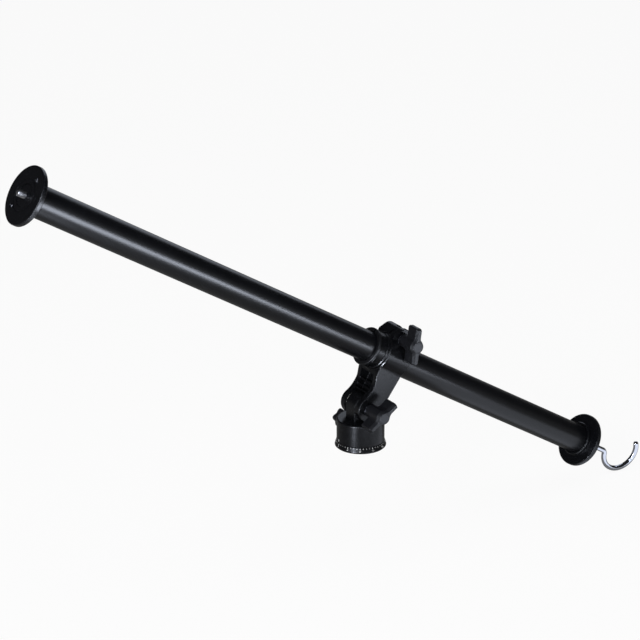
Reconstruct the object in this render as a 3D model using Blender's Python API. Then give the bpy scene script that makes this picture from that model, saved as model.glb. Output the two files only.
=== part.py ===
# Tripod extension arm: a long tube in a tilting clamp on a panning base.
# Metres, +Z up. The origin is the centre of the base's bottom face. The tube lies in the XZ
# plane, its hook end towards +X and down, and the two big wing knobs are on the -Y side.

import bmesh
import bpy
from math import acos, atan2, cos, pi, radians, sin, sqrt
from mathutils import Vector
from mathutils.geometry import interpolate_bezier

# Arm
TUBE_DIAMETER = 0.030
TUBE_WALL = 0.0015
ARM_LENGTH = 0.733
ARM_UPPER_REACH = 0.4415
ARM_SLOPE = radians(31.1)

# End plates
PLATE_DIAMETER = 0.056
PLATE_THICKNESS = 0.005
PLATE_CHAMFER = 0.0008
BOSS_WALL = 0.003
BOSS_HEIGHT = 0.004
SPIGOT_LENGTH = 0.014
SPIGOT_WALL = 0.003
RING_GROOVE_DIAMETER = 0.0308
RING_GROOVE_WIDTH = 0.0008
RING_GROOVE_DEPTH = 0.0008
STUD_BUSH_DIAMETER = 0.0212
STUD_BUSH_LENGTH = 0.014
STUD_BUSH_SINK = 0.0003
STUD_DIAMETER = 0.00635
STUD_PROTRUSION = 0.007
STUD_ENGAGEMENT = 0.008
SET_SCREW_DIAMETER = 0.004
SET_SCREW_CIRCLE = 0.0366
SET_SCREW_SINK = 0.0008
SET_SCREW_ANGLES = (radians(42), radians(207))

# Hook
HOOK_WIRE = 0.0055
HOOK_SHANK = 0.0310
HOOK_RADIUS = 0.0204
HOOK_OFFSET = 0.0062
HOOK_NECK_RADIUS = 0.0062
HOOK_END_ANGLE = radians(46)
HOOK_TWIST = radians(9)
HOOK_NUT_FLATS = 0.010
HOOK_NUT_HEIGHT = 0.005

# Collar and liner, along the tube from the tilt axis
LINER_WALL = 0.0012
LINER_FLANGE_RISE = 0.0028
LINER_FLANGE_WIDTH = 0.0026
SLEEVE_WALL = 0.0016
SLEEVE_LENGTH = 0.0115
STEP_WALL = 0.0026
STEP_LENGTH = 0.003
BLOCK_WALL = 0.0037
BLOCK_START = -0.012
BLOCK_END = 0.017
SLOT_WIDTH = 0.0018
SLOT_OFFSET = 0.0017
CLAMP_POSITION = 0.003
CLAMP_RISE = 0.0039
CLAMP_FRONT_INSET = 0.009
CLAMP_BACK_INSET = 0.0035
EAR_RADIUS = 0.0086
EAR_RISE = 0.0019
EAR_ROOT = 0.007
EAR_TOE_START = -0.0086
EAR_TOE_RISE = 0.0005
CLAMP_BOLT_DIAMETER = 0.006

# Neck and fork
TILT_HEIGHT = 0.0423
NECK_HEIGHT = 0.055
FORK_WIDTH = 0.033
FORK_RADIUS = 0.013
NECK_WAIST_HEIGHT = 0.022
NECK_WAIST_LEFT = 0.0078
NECK_FOOT_ANGLE = radians(152)
NECK_INSET = 0.0002
POCKET_DEPTH = 0.009
POCKET_WIDTH = 0.0215
POCKET_BOTTOM = 0.0145
POCKET_CEILING = 0.0015
RIB_SHARES = (0.17838, 0.49189)
RIB_THICKNESS = 0.0018
RIB_SINK = 0.0008
TILT_BOLT_DIAMETER = 0.006

# Base
BODY_DIAMETER = 0.0472
BODY_TOP = 0.0286
BODY_CORNER = 0.0014
TONGUE_THICKNESS = 0.016
TONGUE_RADIUS = 0.0122
TILT_BUSH_WALL = 0.0015
DIAL_FLARE = 0.00175
DIAL_HEIGHT = 0.006
DIAL_LEDGE = 0.0003
DIAL_EDGE = 0.0008
SPINDLE_DIAMETER = 0.025
SPINDLE_HEAD_DIAMETER = 0.031
SPINDLE_HEAD_BOTTOM = 0.0118
SPINDLE_TOP = 0.0208
SPINDLE_RING_DIAMETER = 0.036
DIAL_SCREW_DIAMETER = 0.003
DIAL_SCREW_LENGTH = 0.011
DIAL_SCREW_CIRCLE = 0.020
DIAL_SCREW_COUNT = 3
INSERT_DIAMETER = 0.0125
INSERT_BORE = 0.0095
INSERT_LENGTH = 0.011
THRUST_WASHER_DIAMETER = 0.040
THRUST_WASHER_THICKNESS = 0.0008

# Wing knobs
KNOB_LENGTH = 0.037
KNOB_WING_WIDTH = 0.0062
KNOB_HUB_DIAMETER = 0.0146
KNOB_BLEND = 0.006
KNOB_CORNER = 0.0018
KNOB_DEPTH = 0.016
KNOB_STEM_DIAMETER = 0.0135
KNOB_STEM_LENGTH = 0.008
KNOB_STEP_INSET = 0.00045
KNOB_STEP_DEPTH = 0.00095
KNOB_STEPS = 3
KNOB_CAP_DIAMETER = 0.0108
KNOB_CAP_RISE = 0.0002
KNOB_CAP_SINK = 0.0012
KNOB_NUT_LENGTH = 0.006
KNOB_EDGE = 0.0006
BOLT_REACH = 0.0125
LOCK_TRAVEL = 0.00125
WASHER_THICKNESS = 0.0012
TILT_KNOB_ANGLE = radians(35)
CLAMP_KNOB_ANGLE = radians(82)
BOLT_HEAD_HEIGHT = 0.004

# Pan lock
PAN_SCREW_HEIGHT = 0.0160
PAN_SCREW_DIAMETER = 0.005
PAN_SHOE_DIAMETER = 0.007
PAN_SHOE_LENGTH = 0.003
PAN_SCREW_REACH = 0.0075
PAN_KNOB_DIAMETER = 0.0194
PAN_KNOB_LOBES = 5
PAN_KNOB_LOBE_DEPTH = 0.0023
PAN_KNOB_DEPTH = 0.0096
PAN_KNOB_STEM_DIAMETER = 0.011
PAN_KNOB_STEM_LENGTH = 0.003
PAN_KNOB_STAND_OFF = 0.0008
PAN_KNOB_ANGLE = radians(-96)
PAN_KNOB_EDGE = 0.0010
PAN_CAP_DIAMETER = 0.008

# Fits
CONTACT_GAP = 0.0003
FRICTION_WASHER_THICKNESS = 0.0008
FORK_CLEARANCE = 0.0009

LARGE_SEGMENTS = 36
MEDIUM_SEGMENTS = 24
SMALL_SEGMENTS = 16
HOOK_SIDES = 3

TUBE_RADIUS = TUBE_DIAMETER / 2
TUBE_BORE_RADIUS = TUBE_RADIUS - TUBE_WALL
LINER_BORE_RADIUS = TUBE_RADIUS + CONTACT_GAP
LINER_RADIUS = LINER_BORE_RADIUS + LINER_WALL
COLLAR_BORE_RADIUS = LINER_RADIUS + CONTACT_GAP
BLOCK_RADIUS = COLLAR_BORE_RADIUS + BLOCK_WALL
CLAMP_FRONT = BLOCK_RADIUS - CLAMP_FRONT_INSET
CLAMP_BACK = BLOCK_RADIUS - CLAMP_BACK_INSET
CLAMP_HEIGHT = COLLAR_BORE_RADIUS + CLAMP_RISE
EAR_HEIGHT = CLAMP_HEIGHT + EAR_RISE
EAR_TOE_HEIGHT = BLOCK_RADIUS + EAR_TOE_RISE
POCKET_TOP = NECK_HEIGHT - BLOCK_RADIUS - POCKET_CEILING
SLEEVE_START = BLOCK_START - SLEEVE_LENGTH
FLANGE_START = SLEEVE_START - CONTACT_GAP - LINER_FLANGE_WIDTH
FORK_GAP = TONGUE_THICKNESS / 2 + 2 * CONTACT_GAP + FRICTION_WASHER_THICKNESS
FORK_SADDLE = TONGUE_RADIUS + FORK_CLEARANCE
PLATE_RADIUS = PLATE_DIAMETER / 2
SPIGOT_RADIUS = TUBE_BORE_RADIUS - CONTACT_GAP
HEAD_FACE = -ARM_UPPER_REACH
HOOK_FACE = ARM_LENGTH - ARM_UPPER_REACH
WASHER_RADIUS = KNOB_STEM_DIAMETER / 2
KNOB_SEAT = 2 * CONTACT_GAP + WASHER_THICKNESS


# Scene and materials

def clear_scene():
    for item in list(bpy.data.objects):
        bpy.data.objects.remove(item, do_unlink=True)


def material(name, colour, roughness, metallic):
    """One Principled BSDF material."""
    made = bpy.data.materials.new(name)
    made.use_nodes = True
    shader = made.node_tree.nodes["Principled BSDF"]
    shader.inputs["Base Color"].default_value = (*colour, 1.0)
    shader.inputs["Roughness"].default_value = roughness
    shader.inputs["Metallic"].default_value = metallic
    return made


class Finish:
    """The part's colours, roughness and metal values, as in the photo."""

    def __init__(self):
        self.anodised = material("black_anodised", (0.018, 0.019, 0.023), 0.38, 0.55)
        self.casting = material("black_casting", (0.030, 0.031, 0.036), 0.45, 0.35)
        self.dial = material("dial_black", (0.012, 0.012, 0.013), 0.42, 0.10)
        self.knob = material("knob_plastic", (0.040, 0.041, 0.048), 0.50, 0.0)
        self.cap = material("knob_cap_grey", (0.075, 0.077, 0.088), 0.55, 0.0)
        self.liner = material("liner_nylon", (0.014, 0.014, 0.015), 0.55, 0.0)
        self.slide = material("slide_plastic", (0.62, 0.61, 0.58), 0.45, 0.0)
        self.steel = material("bright_steel", (0.62, 0.62, 0.62), 0.28, 1.0)
        self.chrome = material("chrome", (0.80, 0.81, 0.83), 0.08, 1.0)
        self.brass = material("brass", (0.62, 0.44, 0.18), 0.35, 1.0)
        self.blued = material("dark_steel", (0.06, 0.06, 0.065), 0.40, 0.9)


# Frames

def frame_empty(name, location, rotation, parent=None):
    """An empty that carries the pieces of one axis."""
    empty = bpy.data.objects.new(name, None)
    empty.location = location
    empty.rotation_euler = rotation
    empty.parent = parent
    bpy.context.scene.collection.objects.link(empty)
    return empty


# Solids

def finish_object(name, mesh, finish, parent):
    """Links a mesh as a sub-part and shades its round faces smooth."""
    if finish:
        mesh.materials.append(finish)
    mesh.shade_smooth()
    mesh.set_sharp_from_angle(angle=radians(32))
    made = bpy.data.objects.new(name, mesh)
    made.parent = parent
    bpy.context.scene.collection.objects.link(made)
    return made


def mesh_from(name, shape):
    mesh = bpy.data.meshes.new(name)
    bmesh.ops.recalc_face_normals(shape, faces=shape.faces)
    shape.to_mesh(mesh)
    shape.free()
    return mesh


def turned(name, profile, finish, parent, segments=LARGE_SEGMENTS):
    """Revolves a profile of (radius, height) points round Z.

    A profile that starts and ends on the axis makes a solid, any other is closed into a ring.
    """
    shape = bmesh.new()
    points = [shape.verts.new((radius, 0.0, height)) for radius, height in profile]
    pairs = list(zip(points, points[1:]))
    if profile[0][0] > 0.0:
        pairs.append((points[-1], points[0]))
    edges = [shape.edges.new(pair) for pair in pairs]
    bmesh.ops.spin(shape, geom=points + edges, cent=(0, 0, 0), axis=(0, 0, 1),
                   angle=2 * pi, steps=segments, use_merge=True)
    bmesh.ops.remove_doubles(shape, verts=shape.verts, dist=1e-6)
    return finish_object(name, mesh_from(name, shape), finish, parent)


def extruded(name, outline, start, end, finish, parent, bevel=0.0, bevel_segments=2):
    """Extrudes a closed outline of (x, y) points from one height to another."""
    shape = bmesh.new()
    base = shape.faces.new([shape.verts.new((x, y, start)) for x, y in outline])
    lifted = bmesh.ops.extrude_face_region(shape, geom=[base])["geom"]
    top_verts = [item for item in lifted if isinstance(item, bmesh.types.BMVert)]
    bmesh.ops.translate(shape, verts=top_verts, vec=(0, 0, end - start))
    if bevel:
        rims = [edge for edge in shape.edges
                if abs(edge.verts[0].co.z - edge.verts[1].co.z) < 1e-7]
        bmesh.ops.bevel(shape, geom=rims, offset=bevel, segments=bevel_segments,
                        profile=0.5, affect="EDGES", material=-1)
    return finish_object(name, mesh_from(name, shape), finish, parent)


def box(name, low, high, parent):
    """A block between two corners, used as a cutter."""
    outline = [(low[0], low[1]), (high[0], low[1]), (high[0], high[1]), (low[0], high[1])]
    return extruded(name, outline, low[2], high[2], None, parent)


def rod(name, radius, start, end, parent, segments=SMALL_SEGMENTS):
    """A plain cylinder on its frame's Z, used as a cutter or a core."""
    return turned(name, [(0.0, start), (radius, start), (radius, end), (0.0, end)],
                  None, parent, segments)


def placed(item, location=(0, 0, 0), rotation=(0, 0, 0)):
    item.location = location
    item.rotation_euler = rotation
    return item


def combine(target, tools, operation):
    """Adds one Boolean to a piece for all its tools. The tools are hidden guides."""
    group = bpy.data.collections.new(f"{target.name}_{operation.lower()}")
    for tool in tools:
        tool.hide_render = True
        tool.display_type = "WIRE"
        group.objects.link(tool)
    modifier = target.modifiers.new(group.name, "BOOLEAN")
    modifier.operation = operation
    modifier.operand_type = "COLLECTION"
    modifier.collection = group
    modifier.solver = "EXACT"


def cut(target, *tools):
    combine(target, tools, "DIFFERENCE")


def fuse(target, *tools):
    combine(target, tools, "UNION")


def circle_points(radius, count, start=0.0, sweep=2 * pi, centre=(0.0, 0.0), closed=True):
    """Points along an arc. A closed circle leaves out its last point."""
    steps = count if closed else count - 1
    return [(centre[0] + radius * cos(start + sweep * step / steps),
             centre[1] + radius * sin(start + sweep * step / steps)) for step in range(count)]


def hexagon(across_flats):
    return circle_points(across_flats / sqrt(3), 6)


def thread_profile(radius, start, end, tip):
    """A plain shank with a chamfered tip, from the axis to the axis."""
    return [(0.0, start), (radius, start), (radius, end - tip), (radius - tip, end), (0.0, end)]


# Base

def make_dial_ring(frame, finish):
    """The bottom ring: slanted scale face, bore for the insert, countersunk screw holes."""
    bore = INSERT_DIAMETER / 2 + CONTACT_GAP
    rim = BODY_DIAMETER / 2 + DIAL_FLARE
    profile = [(bore, 0.0), (rim - DIAL_EDGE, 0.0), (rim, DIAL_EDGE), (rim, 2 * DIAL_EDGE),
               (BODY_DIAMETER / 2 + DIAL_LEDGE, DIAL_HEIGHT), (bore, DIAL_HEIGHT)]
    ring = turned("dial_ring", profile, finish.dial, frame)
    for number in range(DIAL_SCREW_COUNT):
        place = dial_screw_place(number)
        hole = turned(f"dial_screw_hole_{number + 1}", screw_profile(CONTACT_GAP), None, frame,
                      SMALL_SEGMENTS)
        cut(ring, placed(hole, place))
    return ring


def dial_screw_place(number):
    angle = 2 * pi * number / DIAL_SCREW_COUNT + pi / 2
    radius = DIAL_SCREW_CIRCLE / 2
    return (radius * cos(angle), radius * sin(angle), 0.0)


def screw_profile(gap):
    """A countersunk screw standing on its head, or its hole when the gap isn't nought."""
    radius = DIAL_SCREW_DIAMETER / 2 + gap
    head = DIAL_SCREW_DIAMETER * 0.8 + gap
    sink = head - radius
    below = -CONTACT_GAP if gap else CONTACT_GAP
    tip = DIAL_SCREW_LENGTH + gap
    return [(0.0, below), (head, below), (head, CONTACT_GAP), (radius, CONTACT_GAP + sink),
            (radius, tip), (0.0, tip)]


def make_spindle(frame, finish):
    """The turned spindle: a shaft through the ring and a head in the housing."""
    shaft = SPINDLE_DIAMETER / 2
    head = SPINDLE_HEAD_DIAMETER / 2
    bottom = DIAL_HEIGHT + CONTACT_GAP
    bore = INSERT_DIAMETER / 2 + CONTACT_GAP
    bore_top = INSERT_LENGTH + CONTACT_GAP
    groove = PAN_SHOE_DIAMETER / 2 + CONTACT_GAP
    profile = [(0.0, bore_top), (bore, bore_top), (bore, bottom), (shaft, bottom),
               (shaft, SPINDLE_HEAD_BOTTOM), (head, SPINDLE_HEAD_BOTTOM),
               (head, PAN_SCREW_HEIGHT - groove), (head - 0.0006, PAN_SCREW_HEIGHT),
               (head, PAN_SCREW_HEIGHT + groove), (head, SPINDLE_TOP), (0.0, SPINDLE_TOP)]
    spindle = turned("pan_spindle", profile, finish.steel, frame, MEDIUM_SEGMENTS)
    for number in range(DIAL_SCREW_COUNT):
        hole = turned(f"spindle_screw_hole_{number + 1}", screw_profile(CONTACT_GAP), None,
                      frame, SMALL_SEGMENTS)
        cut(spindle, placed(hole, dial_screw_place(number)))
    return spindle


def make_base_hardware(frame, finish):
    """Screws and the threaded insert that the tripod's screw goes into."""
    for number in range(DIAL_SCREW_COUNT):
        screw = turned(f"dial_screw_{number + 1}", screw_profile(0.0), finish.steel, frame,
                       SMALL_SEGMENTS)
        placed(screw, dial_screw_place(number))
    outer = INSERT_DIAMETER / 2
    bore = INSERT_BORE / 2
    lead = 0.0008
    turned("thread_insert", [(bore + lead, CONTACT_GAP), (outer, CONTACT_GAP),
                             (outer, INSERT_LENGTH), (bore, INSERT_LENGTH),
                             (bore, CONTACT_GAP + lead)], finish.steel, frame, SMALL_SEGMENTS)


def make_thrust_washer(frame, finish):
    inner = SPINDLE_DIAMETER / 2 + CONTACT_GAP
    bottom = DIAL_HEIGHT + CONTACT_GAP
    top = bottom + THRUST_WASHER_THICKNESS
    outer = THRUST_WASHER_DIAMETER / 2
    turned("thrust_washer", [(inner, bottom), (outer, bottom), (outer, top), (inner, top)],
           finish.slide, frame, MEDIUM_SEGMENTS)


def make_spindle_ring(frame, finish):
    """The threaded ring that keeps the spindle's head in the housing."""
    inner = SPINDLE_DIAMETER / 2 + CONTACT_GAP
    outer = SPINDLE_RING_DIAMETER / 2
    bottom = DIAL_HEIGHT + THRUST_WASHER_THICKNESS + 2 * CONTACT_GAP
    top = SPINDLE_HEAD_BOTTOM - CONTACT_GAP
    turned("spindle_ring", [(inner, bottom), (outer, bottom), (outer, top), (inner, top)],
           finish.brass, frame, MEDIUM_SEGMENTS)


def make_housing(frame, pan_screw_frame, finish):
    """The turning body: a round shell with the tongue of the tilt joint."""
    body = BODY_DIAMETER / 2
    skirt = THRUST_WASHER_DIAMETER / 2 + CONTACT_GAP
    ring = SPINDLE_RING_DIAMETER / 2 + CONTACT_GAP
    head = SPINDLE_HEAD_DIAMETER / 2 + CONTACT_GAP
    bottom = DIAL_HEIGHT + CONTACT_GAP
    washer_top = bottom + THRUST_WASHER_THICKNESS + CONTACT_GAP
    ring_top = SPINDLE_HEAD_BOTTOM
    ceiling = SPINDLE_TOP + CONTACT_GAP
    corner = circle_points(BODY_CORNER, 4, 0.0, pi / 2,
                           (body - BODY_CORNER, BODY_TOP - BODY_CORNER), closed=False)
    profile = [(0.0, ceiling), (head, ceiling), (head, ring_top), (ring, ring_top),
               (ring, washer_top), (skirt, washer_top), (skirt, bottom), (body, bottom)]
    housing = turned("pan_housing", profile + corner + [(0.0, BODY_TOP)], finish.casting, frame)
    fuse(housing, make_tongue(frame))
    bore = TILT_BOLT_DIAMETER / 2 + TILT_BUSH_WALL + 2 * CONTACT_GAP
    across = rod("tongue_bore", bore, -BODY_DIAMETER, BODY_DIAMETER, frame)
    cut(housing, placed(across, (0, 0, TILT_HEIGHT), (pi / 2, 0, 0)))
    shoe = PAN_SHOE_DIAMETER / 2 + CONTACT_GAP
    hole = rod("pan_shoe_hole", shoe, SPINDLE_HEAD_DIAMETER / 4,
               pan_shoe_end() + LOCK_TRAVEL + CONTACT_GAP, pan_screw_frame)
    screw = rod("pan_screw_hole", PAN_SCREW_DIAMETER / 2 + CONTACT_GAP,
                SPINDLE_HEAD_DIAMETER / 4, BODY_DIAMETER, pan_screw_frame)
    cut(housing, hole, screw)
    return housing


def make_tongue(frame):
    """The upright plate with a round top that the fork straddles."""
    root = BODY_TOP - BODY_CORNER - 0.001
    outline = circle_points(TONGUE_RADIUS, 17, 0.0, pi, (0.0, TILT_HEIGHT), closed=False)
    outline += [(-TONGUE_RADIUS, root), (TONGUE_RADIUS, root)]
    half = TONGUE_THICKNESS / 2
    tongue = extruded("tongue_blank", outline, -half, half, None, frame, bevel=0.0006)
    return placed(tongue, rotation=(pi / 2, 0, 0))


def make_tilt_bush(frame, finish):
    inner = TILT_BOLT_DIAMETER / 2 + CONTACT_GAP
    outer = inner + TILT_BUSH_WALL
    half = TONGUE_THICKNESS / 2
    turned("tilt_bush", [(inner, -half), (outer, -half), (outer, half), (inner, half)],
           finish.brass, frame, SMALL_SEGMENTS)


# Bracket

def neck_outline():
    """The neck's side: fork eye at the foot, a waist, then up into the collar."""
    foot = Vector((FORK_RADIUS * cos(NECK_FOOT_ANGLE), FORK_RADIUS * sin(NECK_FOOT_ANGLE)))
    leave = Vector((sin(NECK_FOOT_ANGLE), -cos(NECK_FOOT_ANGLE)))
    waist = Vector((-NECK_WAIST_LEFT, NECK_WAIST_HEIGHT))
    head = Vector((BLOCK_START + NECK_INSET, NECK_HEIGHT - BLOCK_RADIUS * cos(pi / 4)))
    rise = Vector((0.0, 1.0))
    lower = interpolate_bezier(foot, foot + leave * 0.005, waist - rise * 0.006, waist, 7)
    upper = interpolate_bezier(waist, waist + rise * 0.006, head - rise * 0.010, head, 7)
    right = Vector((BLOCK_END - NECK_INSET, head.y))
    touch = atan2(right.y, right.x) - acos(FORK_RADIUS / right.length)
    eye = circle_points(FORK_RADIUS, 21, NECK_FOOT_ANGLE, 2 * pi + touch - NECK_FOOT_ANGLE,
                        closed=False)
    left = [(point.x, point.y) for point in upper[::-1][:-1] + lower[::-1]]
    top = [(right.x, right.y), (right.x, NECK_HEIGHT), (head.x, NECK_HEIGHT)]
    return left + eye[1:] + top


def make_bracket(frame, tube_frame, bolt_frame, clamp_frame, finish):
    """One casting: split collar with ears, ribbed neck, and the fork round the tongue."""
    half = FORK_WIDTH / 2
    bracket = extruded("bracket", neck_outline(), -half, half, finish.casting, frame,
                       bevel=0.0009)
    bracket.data.transform(placed(bracket, rotation=(pi / 2, 0, 0)).matrix_basis)
    bracket.rotation_euler = (0, 0, 0)
    bracket.data.set_sharp_from_angle(angle=radians(32))
    fuse(bracket, collar_blank(tube_frame), ear_blank(frame))
    bore = rod("collar_bore", COLLAR_BORE_RADIUS, SLEEVE_START - 0.01, BLOCK_END + 0.01,
               tube_frame, LARGE_SEGMENTS)
    slot = slot_cutter("collar_slot", frame)
    cut(bracket, bore, slot, *fork_cutters(frame, bolt_frame), *clamp_cutters(clamp_frame),
        *pocket_cutters(frame))
    return bracket


def slot_cutter(name, frame):
    """The slit along the top of the collar and its liner, towards the front ear."""
    edge = SLOT_OFFSET - SLOT_WIDTH / 2
    return box(name, (FLANGE_START - 0.01, -edge - SLOT_WIDTH, NECK_HEIGHT),
               (BLOCK_END + 0.01, -edge, NECK_HEIGHT + 0.05), frame)


def collar_blank(tube_frame):
    """The collar's outside: a slim sleeve, a step, then the thick block, with broken edges."""
    sleeve = COLLAR_BORE_RADIUS + SLEEVE_WALL
    step = COLLAR_BORE_RADIUS + STEP_WALL
    step_start = BLOCK_START - STEP_LENGTH
    block = BLOCK_RADIUS
    edge = 0.0012
    core = COLLAR_BORE_RADIUS - 0.002
    return turned("collar_blank", [
        (core, SLEEVE_START), (sleeve - edge / 2, SLEEVE_START),
        (sleeve, SLEEVE_START + edge / 2), (sleeve, step_start),
        (step - edge / 4, step_start), (step, step_start + edge / 4), (step, BLOCK_START),
        (block - edge / 2, BLOCK_START), (block, BLOCK_START + edge / 2),
        (block, BLOCK_END - edge / 2), (block - edge / 2, BLOCK_END), (core, BLOCK_END)],
        None, tube_frame)


def ear_blank(frame):
    """The ears over the clamp bolt: a round top, and a ramp down to a toe on the upper side."""
    centre = Vector((CLAMP_POSITION, NECK_HEIGHT + EAR_HEIGHT))
    toe = Vector((EAR_TOE_START, NECK_HEIGHT + EAR_TOE_HEIGHT))
    back = toe - centre
    leave = atan2(back.y, back.x) % (2 * pi) - acos(EAR_RADIUS / back.length)
    root = NECK_HEIGHT + EAR_ROOT
    outline = circle_points(EAR_RADIUS, 14, 0.0, leave, centre, closed=False)
    outline += [(toe.x, toe.y), (toe.x, root), (centre.x + EAR_RADIUS, root)]
    ears = extruded("ear_blank", outline, -CLAMP_BACK, CLAMP_FRONT, None, frame, bevel=0.0008)
    return placed(ears, rotation=(pi / 2, 0, 0))


def fork_cutters(frame, bolt_frame):
    """They open the fork for the tongue, and bore it for the tilt bolt."""
    mouth = box("fork_mouth", (-FORK_RADIUS * 2, -FORK_GAP, -FORK_RADIUS * 2),
                (FORK_RADIUS * 2, FORK_GAP, FORK_SADDLE), frame)
    half = FORK_WIDTH / 2
    bolt = TILT_BOLT_DIAMETER / 2 + CONTACT_GAP
    bore = rod("fork_bore", bolt, -half - 0.01, half + 0.01, bolt_frame)
    seat = extruded("tilt_head_seat", hexagon(bolt_flats(TILT_BOLT_DIAMETER) + 2 * CONTACT_GAP),
                    -half - 0.01, 2 * CONTACT_GAP - half + BOLT_HEAD_HEIGHT, None, bolt_frame)
    return mouth, bore, seat


def clamp_cutters(clamp_frame):
    """They bore the ears, face the front one, and sink the bolt's head in the back one."""
    bolt = CLAMP_BOLT_DIAMETER / 2 + CONTACT_GAP
    bore = rod("clamp_bore", bolt, -CLAMP_BACK - 0.01, CLAMP_FRONT + 0.01, clamp_frame)
    face = rod("clamp_spot_face", WASHER_RADIUS + 2 * CONTACT_GAP, CLAMP_FRONT, 0.05,
               clamp_frame, MEDIUM_SEGMENTS)
    seat = extruded("clamp_head_seat", hexagon(bolt_flats(CLAMP_BOLT_DIAMETER) + 2 * CONTACT_GAP),
                    -CLAMP_BACK - 0.01, 2 * CONTACT_GAP - CLAMP_BACK + BOLT_HEAD_HEIGHT,
                    None, clamp_frame)
    return bore, face, seat


def pocket_cutters(frame):
    """Cored pockets in the neck's upper side. Two thin cross ribs stand between them."""
    floor = POCKET_DEPTH - NECK_WAIST_LEFT
    half = POCKET_WIDTH / 2
    edges = [POCKET_BOTTOM]
    for share in RIB_SHARES:
        height = POCKET_BOTTOM + share * (POCKET_TOP - POCKET_BOTTOM)
        edges += [height - RIB_THICKNESS / 2, height + RIB_THICKNESS / 2]
    edges.append(POCKET_TOP)
    tools = [box(f"neck_pocket_{number + 1}", (BLOCK_START * 2, -half, low),
                 (floor, half, high), frame)
             for number, (low, high) in enumerate(zip(edges[::2], edges[1::2]))]
    tools.append(box("rib_relief", (BLOCK_START * 2, -half, POCKET_BOTTOM),
                     (RIB_SINK - NECK_WAIST_LEFT, half, POCKET_TOP), frame))
    return tools


def bolt_flats(diameter):
    """Width across flats of a hexagon head for a thread."""
    return 1.625 * diameter


def nut_flats(diameter):
    """Width across flats of the small nut moulded in a knob."""
    return 1.38 * diameter


def make_liner(tube_frame, frame, finish):
    """Split nylon sleeve with a flange at its left end."""
    flange = LINER_RADIUS + LINER_FLANGE_RISE
    edge = 0.0008
    liner = turned("liner", [
        (LINER_BORE_RADIUS + edge / 2, FLANGE_START), (flange - edge, FLANGE_START),
        (flange, FLANGE_START + edge), (flange, FLANGE_START + LINER_FLANGE_WIDTH),
        (LINER_RADIUS, FLANGE_START + LINER_FLANGE_WIDTH), (LINER_RADIUS, BLOCK_END),
        (LINER_BORE_RADIUS, BLOCK_END), (LINER_BORE_RADIUS, FLANGE_START + edge / 2)],
        finish.liner, tube_frame)
    cut(liner, slot_cutter("liner_split", frame))


def make_friction_washers(bolt_frame, finish):
    inner = TILT_BOLT_DIAMETER / 2 + CONTACT_GAP
    outer = TONGUE_RADIUS - 0.001
    near = TONGUE_THICKNESS / 2 + CONTACT_GAP
    for name, side in (("friction_washer_near", 1), ("friction_washer_far", -1)):
        ends = sorted((side * near, side * (near + FRICTION_WASHER_THICKNESS)))
        turned(name, [(inner, ends[0]), (outer, ends[0]), (outer, ends[1]), (inner, ends[1])],
               finish.slide, bolt_frame, MEDIUM_SEGMENTS)


def make_bolt(name, diameter, head_seat, end, frame, finish):
    """A hexagon bolt on its frame's Z, its head sunk at the back."""
    head = extruded(name, hexagon(bolt_flats(diameter)), head_seat, head_seat + BOLT_HEAD_HEIGHT,
                    finish.blued, frame)
    tip = diameter / 8
    shank = turned(f"{name}_shank", thread_profile(diameter / 2, head_seat + 0.001, end, tip),
                   None, frame, SMALL_SEGMENTS)
    fuse(head, shank)
    return head


# Wing knobs

def wing_outline():
    """Two wings that swell into a round hub, blended by concave arcs."""
    half_width = KNOB_WING_WIDTH / 2
    hub = KNOB_HUB_DIAMETER / 2
    corner = half_width - KNOB_CORNER
    tip = KNOB_LENGTH / 2 - KNOB_CORNER
    blend_x = sqrt((hub + KNOB_BLEND) ** 2 - (half_width + KNOB_BLEND) ** 2)
    lean = atan2(half_width + KNOB_BLEND, blend_x)
    side = circle_points(KNOB_CORNER, 3, -pi / 2, pi / 2, (tip, -corner), closed=False)
    side += circle_points(KNOB_CORNER, 3, 0.0, pi / 2, (tip, corner), closed=False)
    side += circle_points(KNOB_BLEND, 4, -pi / 2, lean - pi / 2,
                          (blend_x, half_width + KNOB_BLEND), closed=False)
    side += circle_points(hub, 6, lean, pi - 2 * lean, closed=False)[1:-1]
    side += circle_points(KNOB_BLEND, 4, -lean, lean - pi / 2,
                          (-blend_x, half_width + KNOB_BLEND), closed=False)
    return side + [(-x, -y) for x, y in side]


def make_wing_knob(name, frame, finish, seat, angle, bore):
    """A wing knob on its frame's Z: stem, stepped wings, a socket for its cap and its bore."""
    stem_top = seat + KNOB_STEM_LENGTH
    shape = bmesh.new()
    corners = [shape.verts.new((x, y, stem_top)) for x, y in wing_outline()]
    top = raise_face(shape, shape.faces.new(corners), KNOB_DEPTH - KNOB_STEPS * KNOB_STEP_DEPTH)
    shape.faces.new(corners)
    for _ in range(KNOB_STEPS):
        bmesh.ops.inset_region(shape, faces=[top], thickness=KNOB_STEP_INSET,
                               use_even_offset=True)
        top = raise_face(shape, top, KNOB_STEP_DEPTH)
    knob = finish_object(name, mesh_from(name, shape), finish.knob, frame)
    fuse(knob, knob_stem(name, KNOB_STEM_DIAMETER / 2, seat, stem_top, frame))
    face = stem_top + KNOB_DEPTH
    cut(knob, cap_socket(name, KNOB_CAP_DIAMETER / 2, face, frame), bore)
    knob.rotation_euler = (0, 0, angle)
    make_cap(name, KNOB_CAP_DIAMETER / 2, face, frame, finish)
    return knob


def knob_stem(name, radius, seat, top, frame):
    """The round foot of a knob, a little slimmer towards its wings or lobes."""
    return turned(f"{name}_stem", [
        (0.0, seat), (radius - KNOB_EDGE, seat), (radius, seat + KNOB_EDGE),
        (radius * 0.94, top + KNOB_EDGE), (0.0, top + KNOB_EDGE)], None, frame, MEDIUM_SEGMENTS)


def cap_socket(name, radius, face, frame):
    return rod(f"{name}_cap_socket", radius + CONTACT_GAP, face - KNOB_CAP_SINK, face + 0.01,
               frame)


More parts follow.
